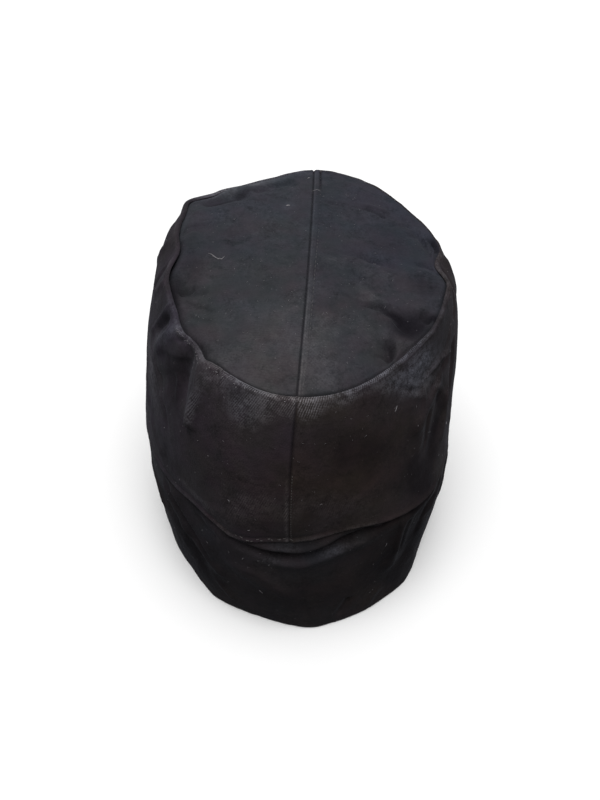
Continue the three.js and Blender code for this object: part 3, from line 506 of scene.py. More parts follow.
def patches(panel, x, y, p):
    """Wear with painted light and shade, and rise, of SHADE_LIGHT_AND_WEAR_PATCHES at (x, y), at points p in mm, their
    outlines a little uneven.
    """
    worn_and_lit, rise = np.zeros(np.shape(x)), np.zeros(np.shape(x))
    if panel == "top":
        u, v, per_u, per_v = x, y, 1.0, 1.0
    else:
        u, v, per_u, per_v = x, y, MID, WALL_HIGH if panel == "wall" else FLAP_HIGH
    drift_u = 2.2 * noise(p / 11.0, 201)
    drift_v = 2.2 * noise(p / 11.0 + 7.7, 202)
    for on, at, a, b, w, r in SHADE_LIGHT_AND_WEAR_PATCHES:
        if on != panel:
            continue
        dx = (u - at[0] if panel == "top" else turn_to(u - at[0])) * per_u
        dy = (v - at[1]) * per_v
        size = min(1.0, 0.16 * (abs(b[0]) + abs(b[1])))
        dx, dy = dx + drift_u * size, dy + drift_v * size
        det = a[0] * b[1] - a[1] * b[0]
        i = (dx * b[1] - dy * b[0]) / det
        j = (a[0] * dy - a[1] * dx) / det
        g = np.exp(-((i * i + j * j) ** 1.25))
        worn_and_lit, rise = worn_and_lit + w * g, rise + r * g
    uneven = folds_noise(p, 9.0, 205, 2)
    return worn_and_lit * (0.95 + 0.25 * uneven if panel == "top" else 0.90 + 0.35 * uneven), rise


def side(panel, deg, q):
    """The outer face of a side panel, as in CAD, in mm."""
    deg, q = np.broadcast_arrays(np.asarray(deg, float), np.asarray(q, float))
    a = np.radians(deg)
    names = ("seam", "wall", "rim") if panel == "wall" else ("hem", "flap", "seam")
    p = through(*(ring(n, deg) for n in names), q)
    height = WALL_HIGH if panel == "wall" else FLAP_HIGH
    from_seam = q if panel == "wall" else 1 - q
    out = RIM_OUT * bell(1 - q, 0.3) * (1 + np.sin(a)) / 2 if panel == "wall" else np.zeros(q.shape)
    up = np.zeros(q.shape)
    for on, at, wide, level, tall, o, u in SWELLS:
        if on not in (panel, "seam"):
            continue
        h = bell(from_seam, tall) if on == "seam" else bell(q - level, tall)
        g = h * bell(turn_to(deg - at), wide)
        out = out + o * g
        up = up + u * g
    for on, at0, level0, at1, level1, wide, rise in SIDE_FOLDS:
        if on != panel:
            continue
        d = to_segment(
            turn_to(deg - at0) * MID,
            (q - level0) * height,
            0,
            0,
            turn_to(at1 - at0) * MID,
            (level1 - level0) * height,
        )
        out = out + rise * bell(d, wide) * (smooth(q, 0, 0.15) if panel == "flap" else 1)
    return p + np.stack([out * np.cos(a), out * np.sin(a), up], -1)


def normals(panel, deg, q, level_edges=True):
    deg, q = np.broadcast_arrays(np.asarray(deg, float), np.asarray(q, float))
    e = 0.01
    round_ = side(panel, deg + 0.5, q) - side(panel, deg - 0.5, q)
    rise = side(panel, deg, np.minimum(1, q + e)) - side(panel, deg, np.maximum(0, q - e))
    n = np.cross(round_, rise)
    n /= np.linalg.norm(n, axis=-1, keepdims=True)
    if level_edges:
        level = bell(q, 0.12) if panel == "wall" else np.maximum(bell(q, 0.12), bell(1 - q, 0.12))
        n = n.copy()
        n[..., 2] *= 1 - level
        n /= np.linalg.norm(n, axis=-1, keepdims=True)
    return n


# ------------------------------------------------------- fine form of the sides
def rim_pucker(arc, seed=5):
    """Uneven gathers along the rim, for a distance arc in mm along it, about -1 to 1."""
    p = np.stack([arc / 5.2, np.full(np.shape(arc), 0.37), np.full(np.shape(arc), 0.61)], -1)
    return noise(p, seed) + 0.6 * noise(p * 2.3 + 5.1, seed + 1)


RIM_DEG = np.linspace(-90, 270, 1441)
_rim = side("wall", RIM_DEG, 1.0)
RIM_ARC = np.concatenate([[0], np.cumsum(np.linalg.norm(np.diff(_rim, axis=0), axis=1))])


def rim_arc(deg):
    return np.interp((np.asarray(deg, float) + 90) % 360 - 90, RIM_DEG, RIM_ARC)


def on_left(deg):
    """1 where the rim stands up as a ridge, the back left and left side; 0 elsewhere."""
    t = turn_to(deg)
    return smooth(t, -30, -12) * (1 - smooth(t, 52, 66))


def rim_tall(deg):
    return 2.8 - 0.3 * on_left(deg) - 1.3 * near_right(deg)


def far_band(deg):
    """Where the far edge at the left catches the light."""
    return bell(turn_to(deg + 59), 14)


def near_right(deg):
    """1 where the top runs level on to a thin rim with a thin painted highlight, at the back right."""
    t = turn_to(deg - 90)
    return smooth(t, 8, 22) * (1 - smooth(t, 62, 78))


def rim_wide(deg):
    return 1.9 + 0.1 * on_left(deg) - 1.1 * rim_far(deg) - 0.8 * near_right(deg)


def rim_far(deg):
    """1 along the front of the rim, where the shoulder gets no painted highlight."""
    t = turn_to(deg - 270)
    return smooth(t, -82, -60) * (1 - smooth(t, 48, 66))


# Pale line along the rim's crest by angle: rubbed wear with painted highlight, strongest at the back left and on the
# far left band that catches the light; painted shade where it falls below 0.
def rim_wear_and_highlight(deg):
    out = 0.06 + 0.42 * bell(turn_to(deg - 80), 19) - 0.25 * bell(turn_to(deg - 5), 28)
    out = out - 0.35 * bell(turn_to(deg + 27), 15) + 0.5 * far_band(deg)
    return out + (0.10 - 0.10 * smooth(deg, 118, 138)) * near_right(deg) + 0.12 * rim_far(deg) * (1 - 2.0 * smooth(deg, 165, 185) * (1 - smooth(deg, 235, 255)))


def detail(panel, deg, q, p):
    """Fine displacement along the normal, in mm, and the cloth's wear with painted light and shade there."""
    height = WALL_HIGH if panel == "wall" else FLAP_HIGH
    out = np.zeros(q.shape)
    for on, points, left, right, rise in FINE:
        if on != panel:
            continue
        at = points[0][0]
        line = [(float(turn_to(d - at)) * MID, lv * height) for d, lv in points]
        near = np.abs(turn_to(deg - at)) < 75
        if not near.any():
            continue
        out = out + np.where(near, crease(turn_to(deg - at) * MID, q * height, line, left, right, 1.3 * rise), 0)
    # slow unevenness of soft cloth, finer across than down
    squeeze = np.array([1.0, 1.0, 0.62])
    out = out + 0.6 * folds_noise(p * squeeze, 26.0, 11, 3)
    out = out + crumple(p * squeeze, 13.0, 51) * 0.7 + 0.12 * folds_noise(p, 4.5, 31, 2)
    wear_and_painted_light, rise = patches(panel, deg, q, p)
    out = out + rise
    wear_and_painted_light = wear_and_painted_light + 0.10 * folds_noise(p, 14.0, 41, 3)
    if panel == "wall":
        h = (1 - q) * height  # mm under the rim
        pk = rim_pucker(rim_arc(deg))
        # the cloth rolls in to the rim seam, and the stitching gathers it
        x = np.clip(1 - h / rim_tall(deg), 0, 1)
        out = out - rim_wide(deg) * (1 - np.sqrt(1 - x * x))
        out = out + 0.40 * pk * (1 - 0.7 * rim_far(deg)) * bell(h, 6.0) * smooth(h, 0, 1.5)
        out = out + 2.2 * np.sin(math.pi * q) * bell(turn_to(deg - 96), 38)
        # lower edge stands over the flap
        v = q * height
        left = smooth(deg, 20, 40) * (1 - smooth(deg, 96, 104))
        out = out + (0.35 + 0.45 * left) * bell(v - 1.0, 1.4) - 0.3 * left * bell(v - 3.4, 1.0)
        # centre back and front seams: a groove darkened by painted shade, most in its upper part, with the pressed
        # allowance on the -X side and a paler line beside the groove low down
        for at, sgn in ((90.0, 1), (270.0, -1)):
            x = turn_to(deg - at) * MID * sgn
            upper = smooth(q, 0.38, 0.55)
            wear_and_painted_light = wear_and_painted_light - (0.08 + 0.52 * upper) * bell(x, 0.6) + 0.30 * (1 - upper) * bell(x + 1.2, 0.8)
            out = out - (0.65 + 0.4 * upper) * bell(x, 0.62) + 0.38 * bell(x - 1.9, 1.7) * (0.4 + 0.6 * (1 - smooth(q, 0.6, 0.95)))
        # painted highlight at the shoulder, most of all at the back left
        wide = 3 + 20 * bell(turn_to(deg - 74), 13) + 5 * bell(turn_to(deg - 98), 8)
        patch = 0.75 + 0.5 * folds_noise(p, 11.0, 43, 2)
        plain = 1 - 0.75 * smooth(turn_to(deg - 90), 20, 42) * (1 - smooth(turn_to(deg - 90), 80, 110))
        wear_and_painted_light = wear_and_painted_light + 0.42 * bell(h, wide) * patch * (1 - rim_far(deg)) * plain
        # painted highlight along the rim's crest
        wear_and_painted_light = wear_and_painted_light + rim_wear_and_highlight(deg) * bell(h - 0.3, 0.85 - 0.3 * near_right(deg))
        # painted shade just under the rim's roll, at the back and back right
        wear_and_painted_light = wear_and_painted_light - 0.20 * bell(h - 2.2, 1.0) * bell(turn_to(deg - 92), 24) - near_right(deg) * (0.12 + 0.18 * smooth(deg, 118, 138)) * bell(h - 1.5, 0.9)
        # painted highlight along the raised lower edge, at the back left and back
        low = 0.30 * smooth(deg, 30, 42) * (1 - smooth(deg, 72, 80)) + 0.22 * smooth(deg, 84, 94) * (1 - smooth(deg, 112, 122))
        wear_and_painted_light = wear_and_painted_light + low * bell(v - 0.8, 1.3)
    else:
        v = (1 - q) * height  # mm under the seam
        out = out - 0.9 * bell(v, 1.3)
        # turned hem
        out = out + 0.25 * bell(q * height - 2.0, 2.2)
        hem = noise(np.stack([deg * MID / 17.0, q * 0, q * 0 + 3.3], -1), 61)
        out = out + 0.35 * hem * bell(q * height, 9.0) * smooth(q * height, 0, 4)
        wear_and_painted_light = wear_and_painted_light + 0.25 * bell(q * height - 1.5, 2.0)
    return out, wear_and_painted_light


def cast_at(panel, deg, q, p):
    """Colour cast, from -1, cool, to 1, warm: painted tints of warm and cool light on the cloth, with random tone."""
    if panel == "wall":
        c = 0.95 * bell(turn_to(deg - 112), 26) * bell(q - 0.45, 0.42)
        c = c + 0.5 * bell(turn_to(deg - 74), 20) * bell(q - 0.3, 0.35)
        c = c - 0.9 * bell(turn_to(deg - 140), 24) * bell(q - 0.85, 0.22)
        c = c - 0.35 * bell(turn_to(deg - 30), 26) - 0.5 * bell(turn_to(deg - 32), 16) * bell(q - 0.92, 0.16)
        c = c - 0.5 * rim_far(deg) * bell(1 - q, 0.06) - 0.35 * near_right(deg) * bell(1 - q, 0.04)
    else:
        c = 0.95 * bell(turn_to(deg - 122), 15) * bell(q - 0.45, 0.4)
        c = c - 0.9 * bell(turn_to(deg - 62), 22) * bell(q - 0.85, 0.3) - 0.6 * bell(turn_to(deg - 102), 16) * bell(q - 0.83, 0.1)
    return c + 0.35 * folds_noise(p, 24.0, 211, 2)


# Colour cast of the top: painted reflection, cooler on the far part and the far right seen at a grazing angle, a
# little warmer near, with random tone.
def top_cast(x, y, p):
    far = 1 - smooth(y, -55, 25)
    c = 0.15 * smooth(y, 10, 60) - 0.55 * far - 0.5 * smooth(-x, 8, 60) * (1 - smooth(y, -10, 50))
    return c + 0.4 * folds_noise(p, 20.0, 213, 2)


# --------------------------------------------------------------------- meshes
def graded(a, b, count, fine=()):
    """count + 1 values from a to b, closer together round each (centre, width, times)."""
    x = np.linspace(a, b, 4001)
    density = np.ones_like(x)
    for c, w, times in fine:
        density += (times - 1) * bell(x - c, w)
    total = np.concatenate([[0], np.cumsum((density[1:] + density[:-1]) / 2)])
    return np.interp(np.linspace(0, total[-1], count + 1), total, x)


def make_mesh(name, verts_mm, faces, uv, grain, flat=()):
    """faces: list of index tuples. uv and grain, (u mm, v mm, wear with painted light and shade, colour cast), have
    one entry per corner.
    """
    me = bpy.data.meshes.new(name)
    me.from_pydata(((np.asarray(verts_mm) + CENTRE) / 1000.0).tolist(), [], faces)
    layer = me.uv_layers.new(name="OFBake")
    layer.data.foreach_set("uv", np.asarray(uv, np.float32).ravel())
    att = me.attributes.new("grain", "FLOAT_VECTOR", "CORNER")
    grain = np.asarray(grain, np.float32)
    att.data.foreach_set("vector", np.ascontiguousarray(grain[:, :3]).ravel())
    att = me.attributes.new("cast", "FLOAT", "CORNER")
    att.data.foreach_set("value", np.ascontiguousarray(grain[:, 3]))
    shade = np.ones(len(faces), bool)
    for k in flat:
        shade[k] = False
    me.polygons.foreach_set("use_smooth", shade)
    me.update()
    me.validate()
    ob = bpy.data.objects.new(name, me)
    bpy.context.scene.collection.objects.link(ob)
    return ob


def volume(verts, quads):
    v = np.asarray(verts)
    q = np.asarray(quads)
    a, b, c, d = (v[q[:, k]] for k in range(4))
    return (np.einsum("ij,ij->i", a, np.cross(b, c)) + np.einsum("ij,ij->i", a, np.cross(c, d))).sum()


def loft(name, loops, grain, strips, around, outer_count):
    """A closed body from loops[row][k], closed profiles one after another.

    grain has the same shape. The first outer_count points of a profile are its
    outer face: they take most of the UV map, folded into that many strips."""
    rows, cols = loops.shape[:2]
    index = np.arange(rows * cols).reshape(rows, cols)
    last = rows if around else rows - 1
    i0 = np.repeat(np.arange(last), cols)
    j0 = np.tile(np.arange(cols), last)
    i1, j1 = (i0 + 1) % rows, (j0 + 1) % cols
    quads = np.stack([index[i0, j0], index[i1, j0], index[i1, j1], index[i0, j1]], 1)
    # places on the map
    length = np.concatenate([[0], np.cumsum(np.linalg.norm(np.diff(loops, axis=1), axis=2).mean(0))])
    length = np.append(length, length[-1] + np.linalg.norm(loops[:, 0] - loops[:, -1], axis=1).mean())
    face_row = i0
    per = int(np.ceil(last / strips))
    strip = face_row // per
    outer = j0 < outer_count - 1
    top = length[outer_count - 1]
    rest = length[-1] - top
    band = 0.84 / strips

    def place(i, j, s, is_outer):
        u = 0.004 + 0.992 * (i - s * per) / per
        jj = np.asarray(j, float)
        v_out = s * band + 0.004 + (band - 0.008) * np.interp(jj, np.arange(cols + 1), length) / top
        thin = 0.15 / strips
        v_in = 0.845 + s * thin + (thin - 0.004) * (np.interp(jj, np.arange(cols + 1), length) - top) / rest
        return np.stack([u, np.where(is_outer, v_out, v_in)], -1)

    corners = [
        place(i0, j0, strip, outer),
        place(i0 + 1, j0, strip, outer),
        place(i0 + 1, j0 + 1, strip, outer),
        place(i0, j0 + 1, strip, outer),
    ]
    uv = np.stack(corners, 1)
    verts = loops.reshape(-1, 3)
    point_grain = grain.reshape(-1, 4)
    corner_grain = point_grain[quads]
    if around:  # the cloth goes on past where it started
        corner_grain[i0 == rows - 1, 1:3, 0] += 360 * MID
    flip = volume(verts, quads) < 0
    if flip:
        quads, uv, corner_grain = quads[:, ::-1], uv[:, ::-1], corner_grain[:, ::-1]
    faces = quads.tolist()
    uv = uv.reshape(-1, 2).tolist()
    corner_grain = corner_grain.reshape(-1, 4).tolist()
    flat = []
    if not around:
        # end faces: outer points zipped to inner ones
        for row, turned in ((0, False), (rows - 1, True)):
            a = list(range(outer_count))
            b = list(range(cols - 1, outer_count - 1, -1))
            pa, pb = loops[row, a], loops[row, b]
            ia = ib = 0
            while ia < len(a) - 1 or ib < len(b) - 1:
                step_a = ib == len(b) - 1 or (
                    ia < len(a) - 1
                    and np.linalg.norm(pa[ia + 1] - pb[ib]) <= np.linalg.norm(pa[ia] - pb[ib + 1])
                )
                tri = [a[ia], b[ib], a[ia + 1]] if step_a else [a[ia], b[ib], b[ib + 1]]
                ia, ib = (ia + 1, ib) if step_a else (ia, ib + 1)
                tri = [int(index[row, t]) for t in tri]
                if turned != flip:
                    tri = tri[::-1]
                spot = 0.01 + 0.0012 * len(flat)
                uv += [(spot, 0.996), (spot + 0.0010, 0.996), (spot + 0.0005, 0.999)]
                corner_grain += [point_grain[t].tolist() for t in tri]
                flat.append(len(faces))
                faces.append(tri)
    return make_mesh(name, verts, faces, uv, corner_grain, flat)


def side_panel(name, panel, degs, count, around, thick, strips):
    height = WALL_HIGH if panel == "wall" else FLAP_HIGH
    r = thick / 2
    low, high = (0.55 / height if panel == "wall" else r / height), 1
    if panel == "flap":
        high = 1 + 0.004
    if panel == "wall":
        roll = 4.6 / height
        steps_up = 24 // ROUGH
        t = np.linspace(0, math.pi / 2, steps_up + 1)[1:]
        crest = 1 - roll * (1 - np.sin(t)) - 0.25 / height * (t / t[-1])
        high = crest[-1]
        qo = np.concatenate([graded(low, 1 - roll, count - steps_up, [(low, 0.05, 2.2), (0.97, 0.12, 1.6)]), crest])
    else:
        qo = graded(low, high, count, [(0.93, 0.10, 2.4), (low, 0.03, 1.6)])
    qi = graded(low, high, count // 5)[::-1]
    D, Q = np.meshgrid(degs, qo, indexing="ij")
    po = side(panel, D, Q)
    no = normals(panel, D, Q)
    d, wear_and_painted_light = detail(panel, D, Q, po)
    outer = po + no * d[..., None]
    DI, QI = np.meshgrid(degs, qi, indexing="ij")
    if panel == "wall":
        x = np.clip(1 - (1 - Q) * height / rim_tall(D), 0, 1)
        plain = d + rim_wide(D) * (1 - np.sqrt(1 - x * x))
    else:
        plain = d
    di = np.stack([np.interp(qi, qo, row) for row in plain])
    wi = np.stack([np.interp(qi, qo, row) for row in wear_and_painted_light]) * 0.3
    inner = side(panel, DI, QI) + normals(panel, DI, QI) * (di - thick)[..., None]
    # round the top and bottom edges over
    n1, n0 = no[:, -1], no[:, 0]
    up1 = outer[:, -1] - outer[:, -4]
    up0 = outer[:, 0] - outer[:, 3]
    for up, n in ((up1, n1), (up0, n0)):
        up -= (up * n).sum(-1, keepdims=True) * n
        up /= np.linalg.norm(up, axis=-1, keepdims=True)
    c1 = (outer[:, -1] + inner[:, 0]) / 2
    c0 = (outer[:, 0] + inner[:, -1]) / 2
    r1 = np.linalg.norm(outer[:, -1] - inner[:, 0], axis=1)[:, None, None] / 2
    round1 = np.minimum(r1, 0.45) if panel == "wall" else 0.5
    round0 = 0.55 if panel == "wall" else r
    steps = 7

    def over(centre, n, up, flat_r, tall):
        t = np.linspace(0, math.pi, steps + 2)[1:-1]
        return (
            centre[:, None]
            + np.cos(t)[None, :, None] * n[:, None] * flat_r
            + np.sin(t)[None, :, None] * up[:, None] * tall
        )

    if panel == "wall":  # the crest lies level over the thin edge
        n1 = outer[:, -1] - inner[:, 0]
        n1 = n1 / np.linalg.norm(n1, axis=1, keepdims=True)
        up1 = np.broadcast_to(np.array([0.0, 0.0, 1.0]), n1.shape)
    arc1 = over(c1, n1, up1, r1, round1)
    arc0 = over(c0, -n0, up0, r, round0)
    loops = np.concatenate([outer, arc1, inner, arc0], 1)
    # cloth coordinates: mm round and up, and wear with painted light and shade
    along = (degs + 90) * MID
    up_mm = lambda q: q * height
    g_outer = np.stack([np.broadcast_to(along[:, None], D.shape), up_mm(Q), wear_and_painted_light], -1)
    g_inner = np.stack([np.broadcast_to(along[:, None], DI.shape), up_mm(QI), wi], -1)
    s1 = np.linspace(0, math.pi, steps + 2)[1:-1]
    g_arc1 = np.stack(
        [
            np.broadcast_to(along[:, None], arc1.shape[:2]),
            np.broadcast_to(up_mm(high) + s1 * r, arc1.shape[:2]),
            np.broadcast_to(wear_and_painted_light[:, -1:], arc1.shape[:2]) + (rim_wear_and_highlight(degs)[:, None] * np.sin(s1) if panel == "wall" else 0),
        ],
        -1,
    )
    g_arc0 = np.stack(
        [
            np.broadcast_to(along[:, None], arc0.shape[:2]),
            np.broadcast_to(up_mm(low) - s1[::-1] * r, arc0.shape[:2]),
            np.broadcast_to(wear_and_painted_light[:, :1], arc0.shape[:2]),
        ],
        -1,
    )
    hue = cast_at(panel, D, Q, po)
    hues = [
        hue,
        np.broadcast_to(hue[:, -1:], arc1.shape[:2]),
        np.stack([np.interp(qi, qo, row) for row in hue]),
        np.broadcast_to(hue[:, :1], arc0.shape[:2]),
    ]
    grain = np.concatenate([g_outer, g_arc1, g_inner, g_arc0], 1)
    grain = np.concatenate([grain, np.concatenate(hues, 1)[..., None]], -1)
    return loft(name, loops, grain, strips, around, outer.shape[1])


ROUGH = 1
ease = 0.02 / 97.8 / math.pi * 180
wall_degs = lambda a: graded(a + ease, a + 180 - ease, 320 // ROUGH, [(a, 2.6, 2.4), (a + 180, 2.6, 2.4)])
wall_left = side_panel("wall_left", "wall", wall_degs(-90), 124 // ROUGH, False, CLOTH, 2)
wall_right = side_panel("wall_right", "wall", wall_degs(90), 124 // ROUGH, False, CLOTH, 2)
flap_degs = graded(-90, 270, 600 // ROUGH)[:-1]
flap = side_panel("flap", "flap", flap_degs, 92 // ROUGH, True, FLAP_CLOTH, 4)


# ---------------------------------------------------------------- the top
def beside_rim(deg):
    deg = np.asarray(deg, float)
    q0 = np.full(deg.shape, 1 - WALL_LEVELS_STEP)
    one = np.ones(deg.shape)
    n = normals("wall", deg, one)
    high = side("wall", deg, one) - CLOTH * n
    low = side("wall", deg, q0) - CLOTH * normals("wall", deg, q0)
    span = np.linalg.norm(high - low, axis=-1, keepdims=True)
    p = high + (low - high) * (RIM_PROUD / span)
    n = n * (1, 1, 0)
    return p - 0.3 * n / np.linalg.norm(n, axis=-1, keepdims=True)


EDGE = beside_rim(RIM_DEG)
BACK, FRONT = beside_rim(90.0), beside_rim(270.0)


def top_base(deg, s):
    """Upper face of the top in CAD, mm, from the centre seam (s 0) to the rim (s 1)."""
    edge = beside_rim(deg)
    t = np.clip((edge[..., 1] - FRONT[1]) / (BACK[1] - FRONT[1]), 0, 1)
    arch = 1 - (2 * t - 1) ** 2
    seam_x = FRONT[0] + (BACK[0] - FRONT[0]) * t + SEAM_BOW * arch
    seam_z = FRONT[2] + (BACK[2] - FRONT[2]) * t + TOP_RISE * arch
    x = seam_x + (edge[..., 0] - seam_x) * s
    z = seam_z + (edge[..., 2] - seam_z) * s * s
    rise = sum(r * bell(to_segment(x, edge[..., 1], x0, y0, x1, y1), w) for x0, y0, x1, y1, w, r in TOP_FOLDS)
    z = z + rise * (1 - smooth(s, 0.9, 1))
    return np.stack([x, edge[..., 1], z], -1), seam_x


def to_rim(x, y):
    """Distance in plan from (x, y) to the rim's edge, mm, and the place along it."""
    flat = np.stack([np.ravel(x), np.ravel(y)], 1)
    line = EDGE[::2, :2]
    d = np.empty(len(flat))
    k = np.empty(len(flat), int)
    for a in range(0, len(flat), 8000):
        dd = ((flat[a : a + 8000, None] - line[None]) ** 2).sum(-1)
        k[a : a + 8000] = dd.argmin(1)
        c, b = flat[a : a + 8000], k[a : a + 8000]
        near = [
            to_segment(c[:, 0], c[:, 1], *line[i].T, *line[i + 1].T)
            for i in (np.maximum(b - 1, 0), np.minimum(b, len(line) - 2))
        ]
        d[a : a + 8000] = np.minimum(*near)
    return d.reshape(np.shape(x)), RIM_ARC[::2][k].reshape(np.shape(x))


def top_detail(x, y, z, seam_x):
    """Added height, mm, and wear with painted light and shade."""
    e, arc = to_rim(x, y)
    p = np.stack([x, y, z], -1)
    out = np.zeros(x.shape)
    lag = 1.4 * smooth(e, 2, 10)  # the cloth stands fuller than the CAD top that the tables were drawn on
    for points, left, right, rise in TOP_FINE:
        out = out + crease(x, y - lag, points, left, right, 1.7 * rise)
    wear_and_painted_light, rise = patches("top", x, y - lag, p)
    out = (out + rise) * smooth(e, 0.3, 3)
    inside = smooth(e, 0, 8)
    out = out + inside * 0.8 * folds_noise(p * (0.75, 1.25, 1), 24.0, 71, 3)
    out = out + inside * (1.1 * crumple(p * (0.8, 1.4, 1), 12.0, 61) + 0.85 * crumple(p * (0.7, 1.5, 1), 7.0, 64))
    out = out + 0.10 * folds_noise(p, 4.0, 83, 2)
    # full up to the rim, pulled down into its seam, and gathered by the stitches
    deg = np.interp(arc, RIM_ARC, RIM_DEG)
    ridge = on_left(deg)
    far = smooth(deg, 175, 200) * (1 - smooth(deg, 330, 345)) + (1 - smooth(deg, -65, -30))
    deep = 0.9 + 1.2 * ridge - 0.8 * np.clip(far, 0, 1) - 0.4 * near_right(deg)
    far = np.clip(far, 0, 1)
    corner = bell(turn_to(deg + 27), 15)
    out = out + (1.35 - 0.2 * ridge) * (far + (1 - far) * smooth(e, 0, 1.6)) + 0.55 * smooth(e, 1, 8)
    out = out + 0.9 * far * bell(e, 5)
    out = out - deep * (1 - 0.6 * corner) * bell(e - 0.3, 1.0 + 0.7 * ridge)
    pk = rim_pucker(arc + 2.0, 15)
    out = out + (0.38 + 0.4 * ridge - 0.28 * far) * pk * bell(e - 2.5, 4.0)
    # centre seam, pressed to the -X side and stitched down
    dx = x - seam_x
    out = out - 1.15 * bell(dx, 0.45)
    right = -dx
    open_ = 1 - smooth(y, 50, 78)
    out = out + 0.32 * bell(right - 2.0, 1.5) * (0.35 + 0.65 * open_)
    row = stitch_x(y)
    out = out - (0.5 * open_ + 0.12) * bell(right - row, 0.55) * (0.8 + 0.2 * np.cos(2 * math.pi * y / 3.1))
    out = out + 0.28 * bell(dx - 1.7, 1.3)
    end = smooth(-y, 66, 76)
    out = out - 0.9 * end * bell(right - row, 0.55)
    # painted shade in the sunk end of the stitched row
    wear_and_painted_light = wear_and_painted_light - 0.7 * end * bell(right - row, 0.5)
    wear_and_painted_light = wear_and_painted_light + 0.14 * folds_noise(p, 13.0, 91, 3) + 0.14 * bell(right - 2.0, 1.4)
    # painted shade in the seam's groove and in the groove at the rim's edge
    wear_and_painted_light = wear_and_painted_light - 0.55 * bell(dx, 0.42) - (0.30 + 0.12 * ridge - 0.30 * far - 0.26 * near_right(deg)) * (1 - 1.4 * corner) * bell(e - 0.4, 1.0 + 0.5 * ridge)
    # painted highlight on the far left band that catches the light, with a painted shade line inside it
    wear_and_painted_light = wear_and_painted_light + 0.75 * far_band(deg) * bell(e - 2.0, 3.4) - 0.25 * far_band(deg) * bell(e - 8.5, 1.6)
    out = out - 0.4 * far_band(deg) * bell(e - 8.5, 1.6)
    # painted highlight on the raised edges beside the seam, more towards the near rim
    rubbed_and_lit = smooth(y, 5, 45)
    wear_and_painted_light = wear_and_painted_light + (0.26 + 0.45 * rubbed_and_lit) * bell(right - 1.0, 0.5) + 0.25 * rubbed_and_lit * bell(right - 2.5, 0.5)
    # painted light: paler towards the near rim, on both sides of the seam
    wear_and_painted_light = wear_and_painted_light + 0.28 * bell(x - 12, 34) * smooth(y, -5, 62) * (0.8 + 0.4 * folds_noise(p, 10.0, 93, 2))
    return out, wear_and_painted_light


def stitch_x(y):
    """How far from the centre seam its stitched row runs, mm."""
    return np.interp(y, [-90, -40, 0, 28, 54, 78], [3.9, 4.4, 3.6, 3.5, 3.4, 2.6])


def tip_half(name, start, count_rows, count_cols):
    degs = graded(start + 0.35, start + 179.65, count_rows, [(start, 4, 1.6), (start + 180, 4, 1.6)])
    s = graded(0, 1, count_cols, [(0, 0.05, 3.0), (1, 0.06, 2.6)])
    D, S = np.meshgrid(degs, s, indexing="ij")
    base, seam_x = top_base(D, S)
    x, y, z = base[..., 0], base[..., 1], base[..., 2]
    d, wear_and_painted_light = top_detail(x, y, z, seam_x)
    upper = base.copy()
    upper[..., 2] += d
    # the cloth runs on into the rim seam, under the wall's edge
    out_dir = np.stack([np.cos(np.radians(degs)), np.sin(np.radians(degs)), 0 * degs], -1)
    upper += (0.75 * smooth(S, 0.97, 1.0))[..., None] * out_dir[:, None]
    si = np.linspace(1, 0, 14)
    idx = np.array([np.abs(s - v).argmin() for v in si])
    lower = upper[:, idx] - (0, 0, TIP_CLOTH)
    loops = np.concatenate([upper, lower], 1)
    g_up = np.stack([x, y, wear_and_painted_light, top_cast(x, y, base)], -1)
    g_lo = g_up[:, idx] * (1, 1, 0.3, 1)
    grain = np.concatenate([g_up, g_lo], 1)
    return loft(name, loops, grain, 1, False, len(s))


tip_left = tip_half("tip_left", -90, 360 // ROUGH, 120 // ROUGH)
tip_right = tip_half("tip_right", 90, 360 // ROUGH, 120 // ROUGH)


# ------------------------------------------------------- thread and lint
def tubes(name, paths, radius, sides=6):
    """Round strands, closed at both ends, joined in one mesh. Each path is points in mm; radius a number or one per path."""
    verts, faces, uvs = [], [], []
    for n_path, path in enumerate(paths):
        path = np.asarray(path, float)
        r = radius[n_path] if hasattr(radius, "__len__") else radius
        m = len(path)
        tan = np.gradient(path, axis=0)
        tan /= np.linalg.norm(tan, axis=1, keepdims=True)
        ref = np.array([0.0, 0.0, 1.0]) if abs(tan[:, 2]).mean() < 0.8 else np.array([1.0, 0.0, 0.0])
        u = np.cross(tan, ref)
        u /= np.linalg.norm(u, axis=1, keepdims=True)
        w = np.cross(u, tan)
        # thinner at the ends
        taper = np.ones(m)
        taper[0] = taper[-1] = 0.45
        a = np.arange(sides) / sides * 2 * math.pi
        ringv = path[:, None] + r * taper[:, None, None] * (
            np.cos(a)[None, :, None] * u[:, None] + np.sin(a)[None, :, None] * w[:, None]
        )
        base = len(verts)
        verts.extend(ringv.reshape(-1, 3).tolist())
        for i in range(m - 1):
            for k in range(sides):
                a0, a1 = base + i * sides + k, base + i * sides + (k + 1) % sides
                faces.append((a0, a1, a1 + sides, a0 + sides))
                uvs += [(k / sides, i / m), ((k + 1) / sides, i / m), ((k + 1) / sides, (i + 1) / m), (k / sides, (i + 1) / m)]
        faces.append(tuple(base + k for k in reversed(range(sides))))
        faces.append(tuple(base + (m - 1) * sides + k for k in range(sides)))
        uvs += [(0.5, 0.5)] * (2 * sides)
    grain = np.zeros((len(uvs), 4))
    return make_mesh(name, np.array(verts), faces, uvs, grain)


def on_side(panel, deg, q, off):
    """Points off mm outside the finished face of a side panel."""
    deg, q = np.asarray(deg, float), np.asarray(q, float)
    p = side(panel, deg, q)
    d, _ = detail(panel, deg, q, p)
    return p + normals(panel, deg, q) * (d + off)[..., None]


def seam_line(y):
    t = np.clip((y - FRONT[1]) / (BACK[1] - FRONT[1]), 0, 1)
    return FRONT[0] + (BACK[0] - FRONT[0]) * t + SEAM_BOW * (1 - (2 * t - 1) ** 2)


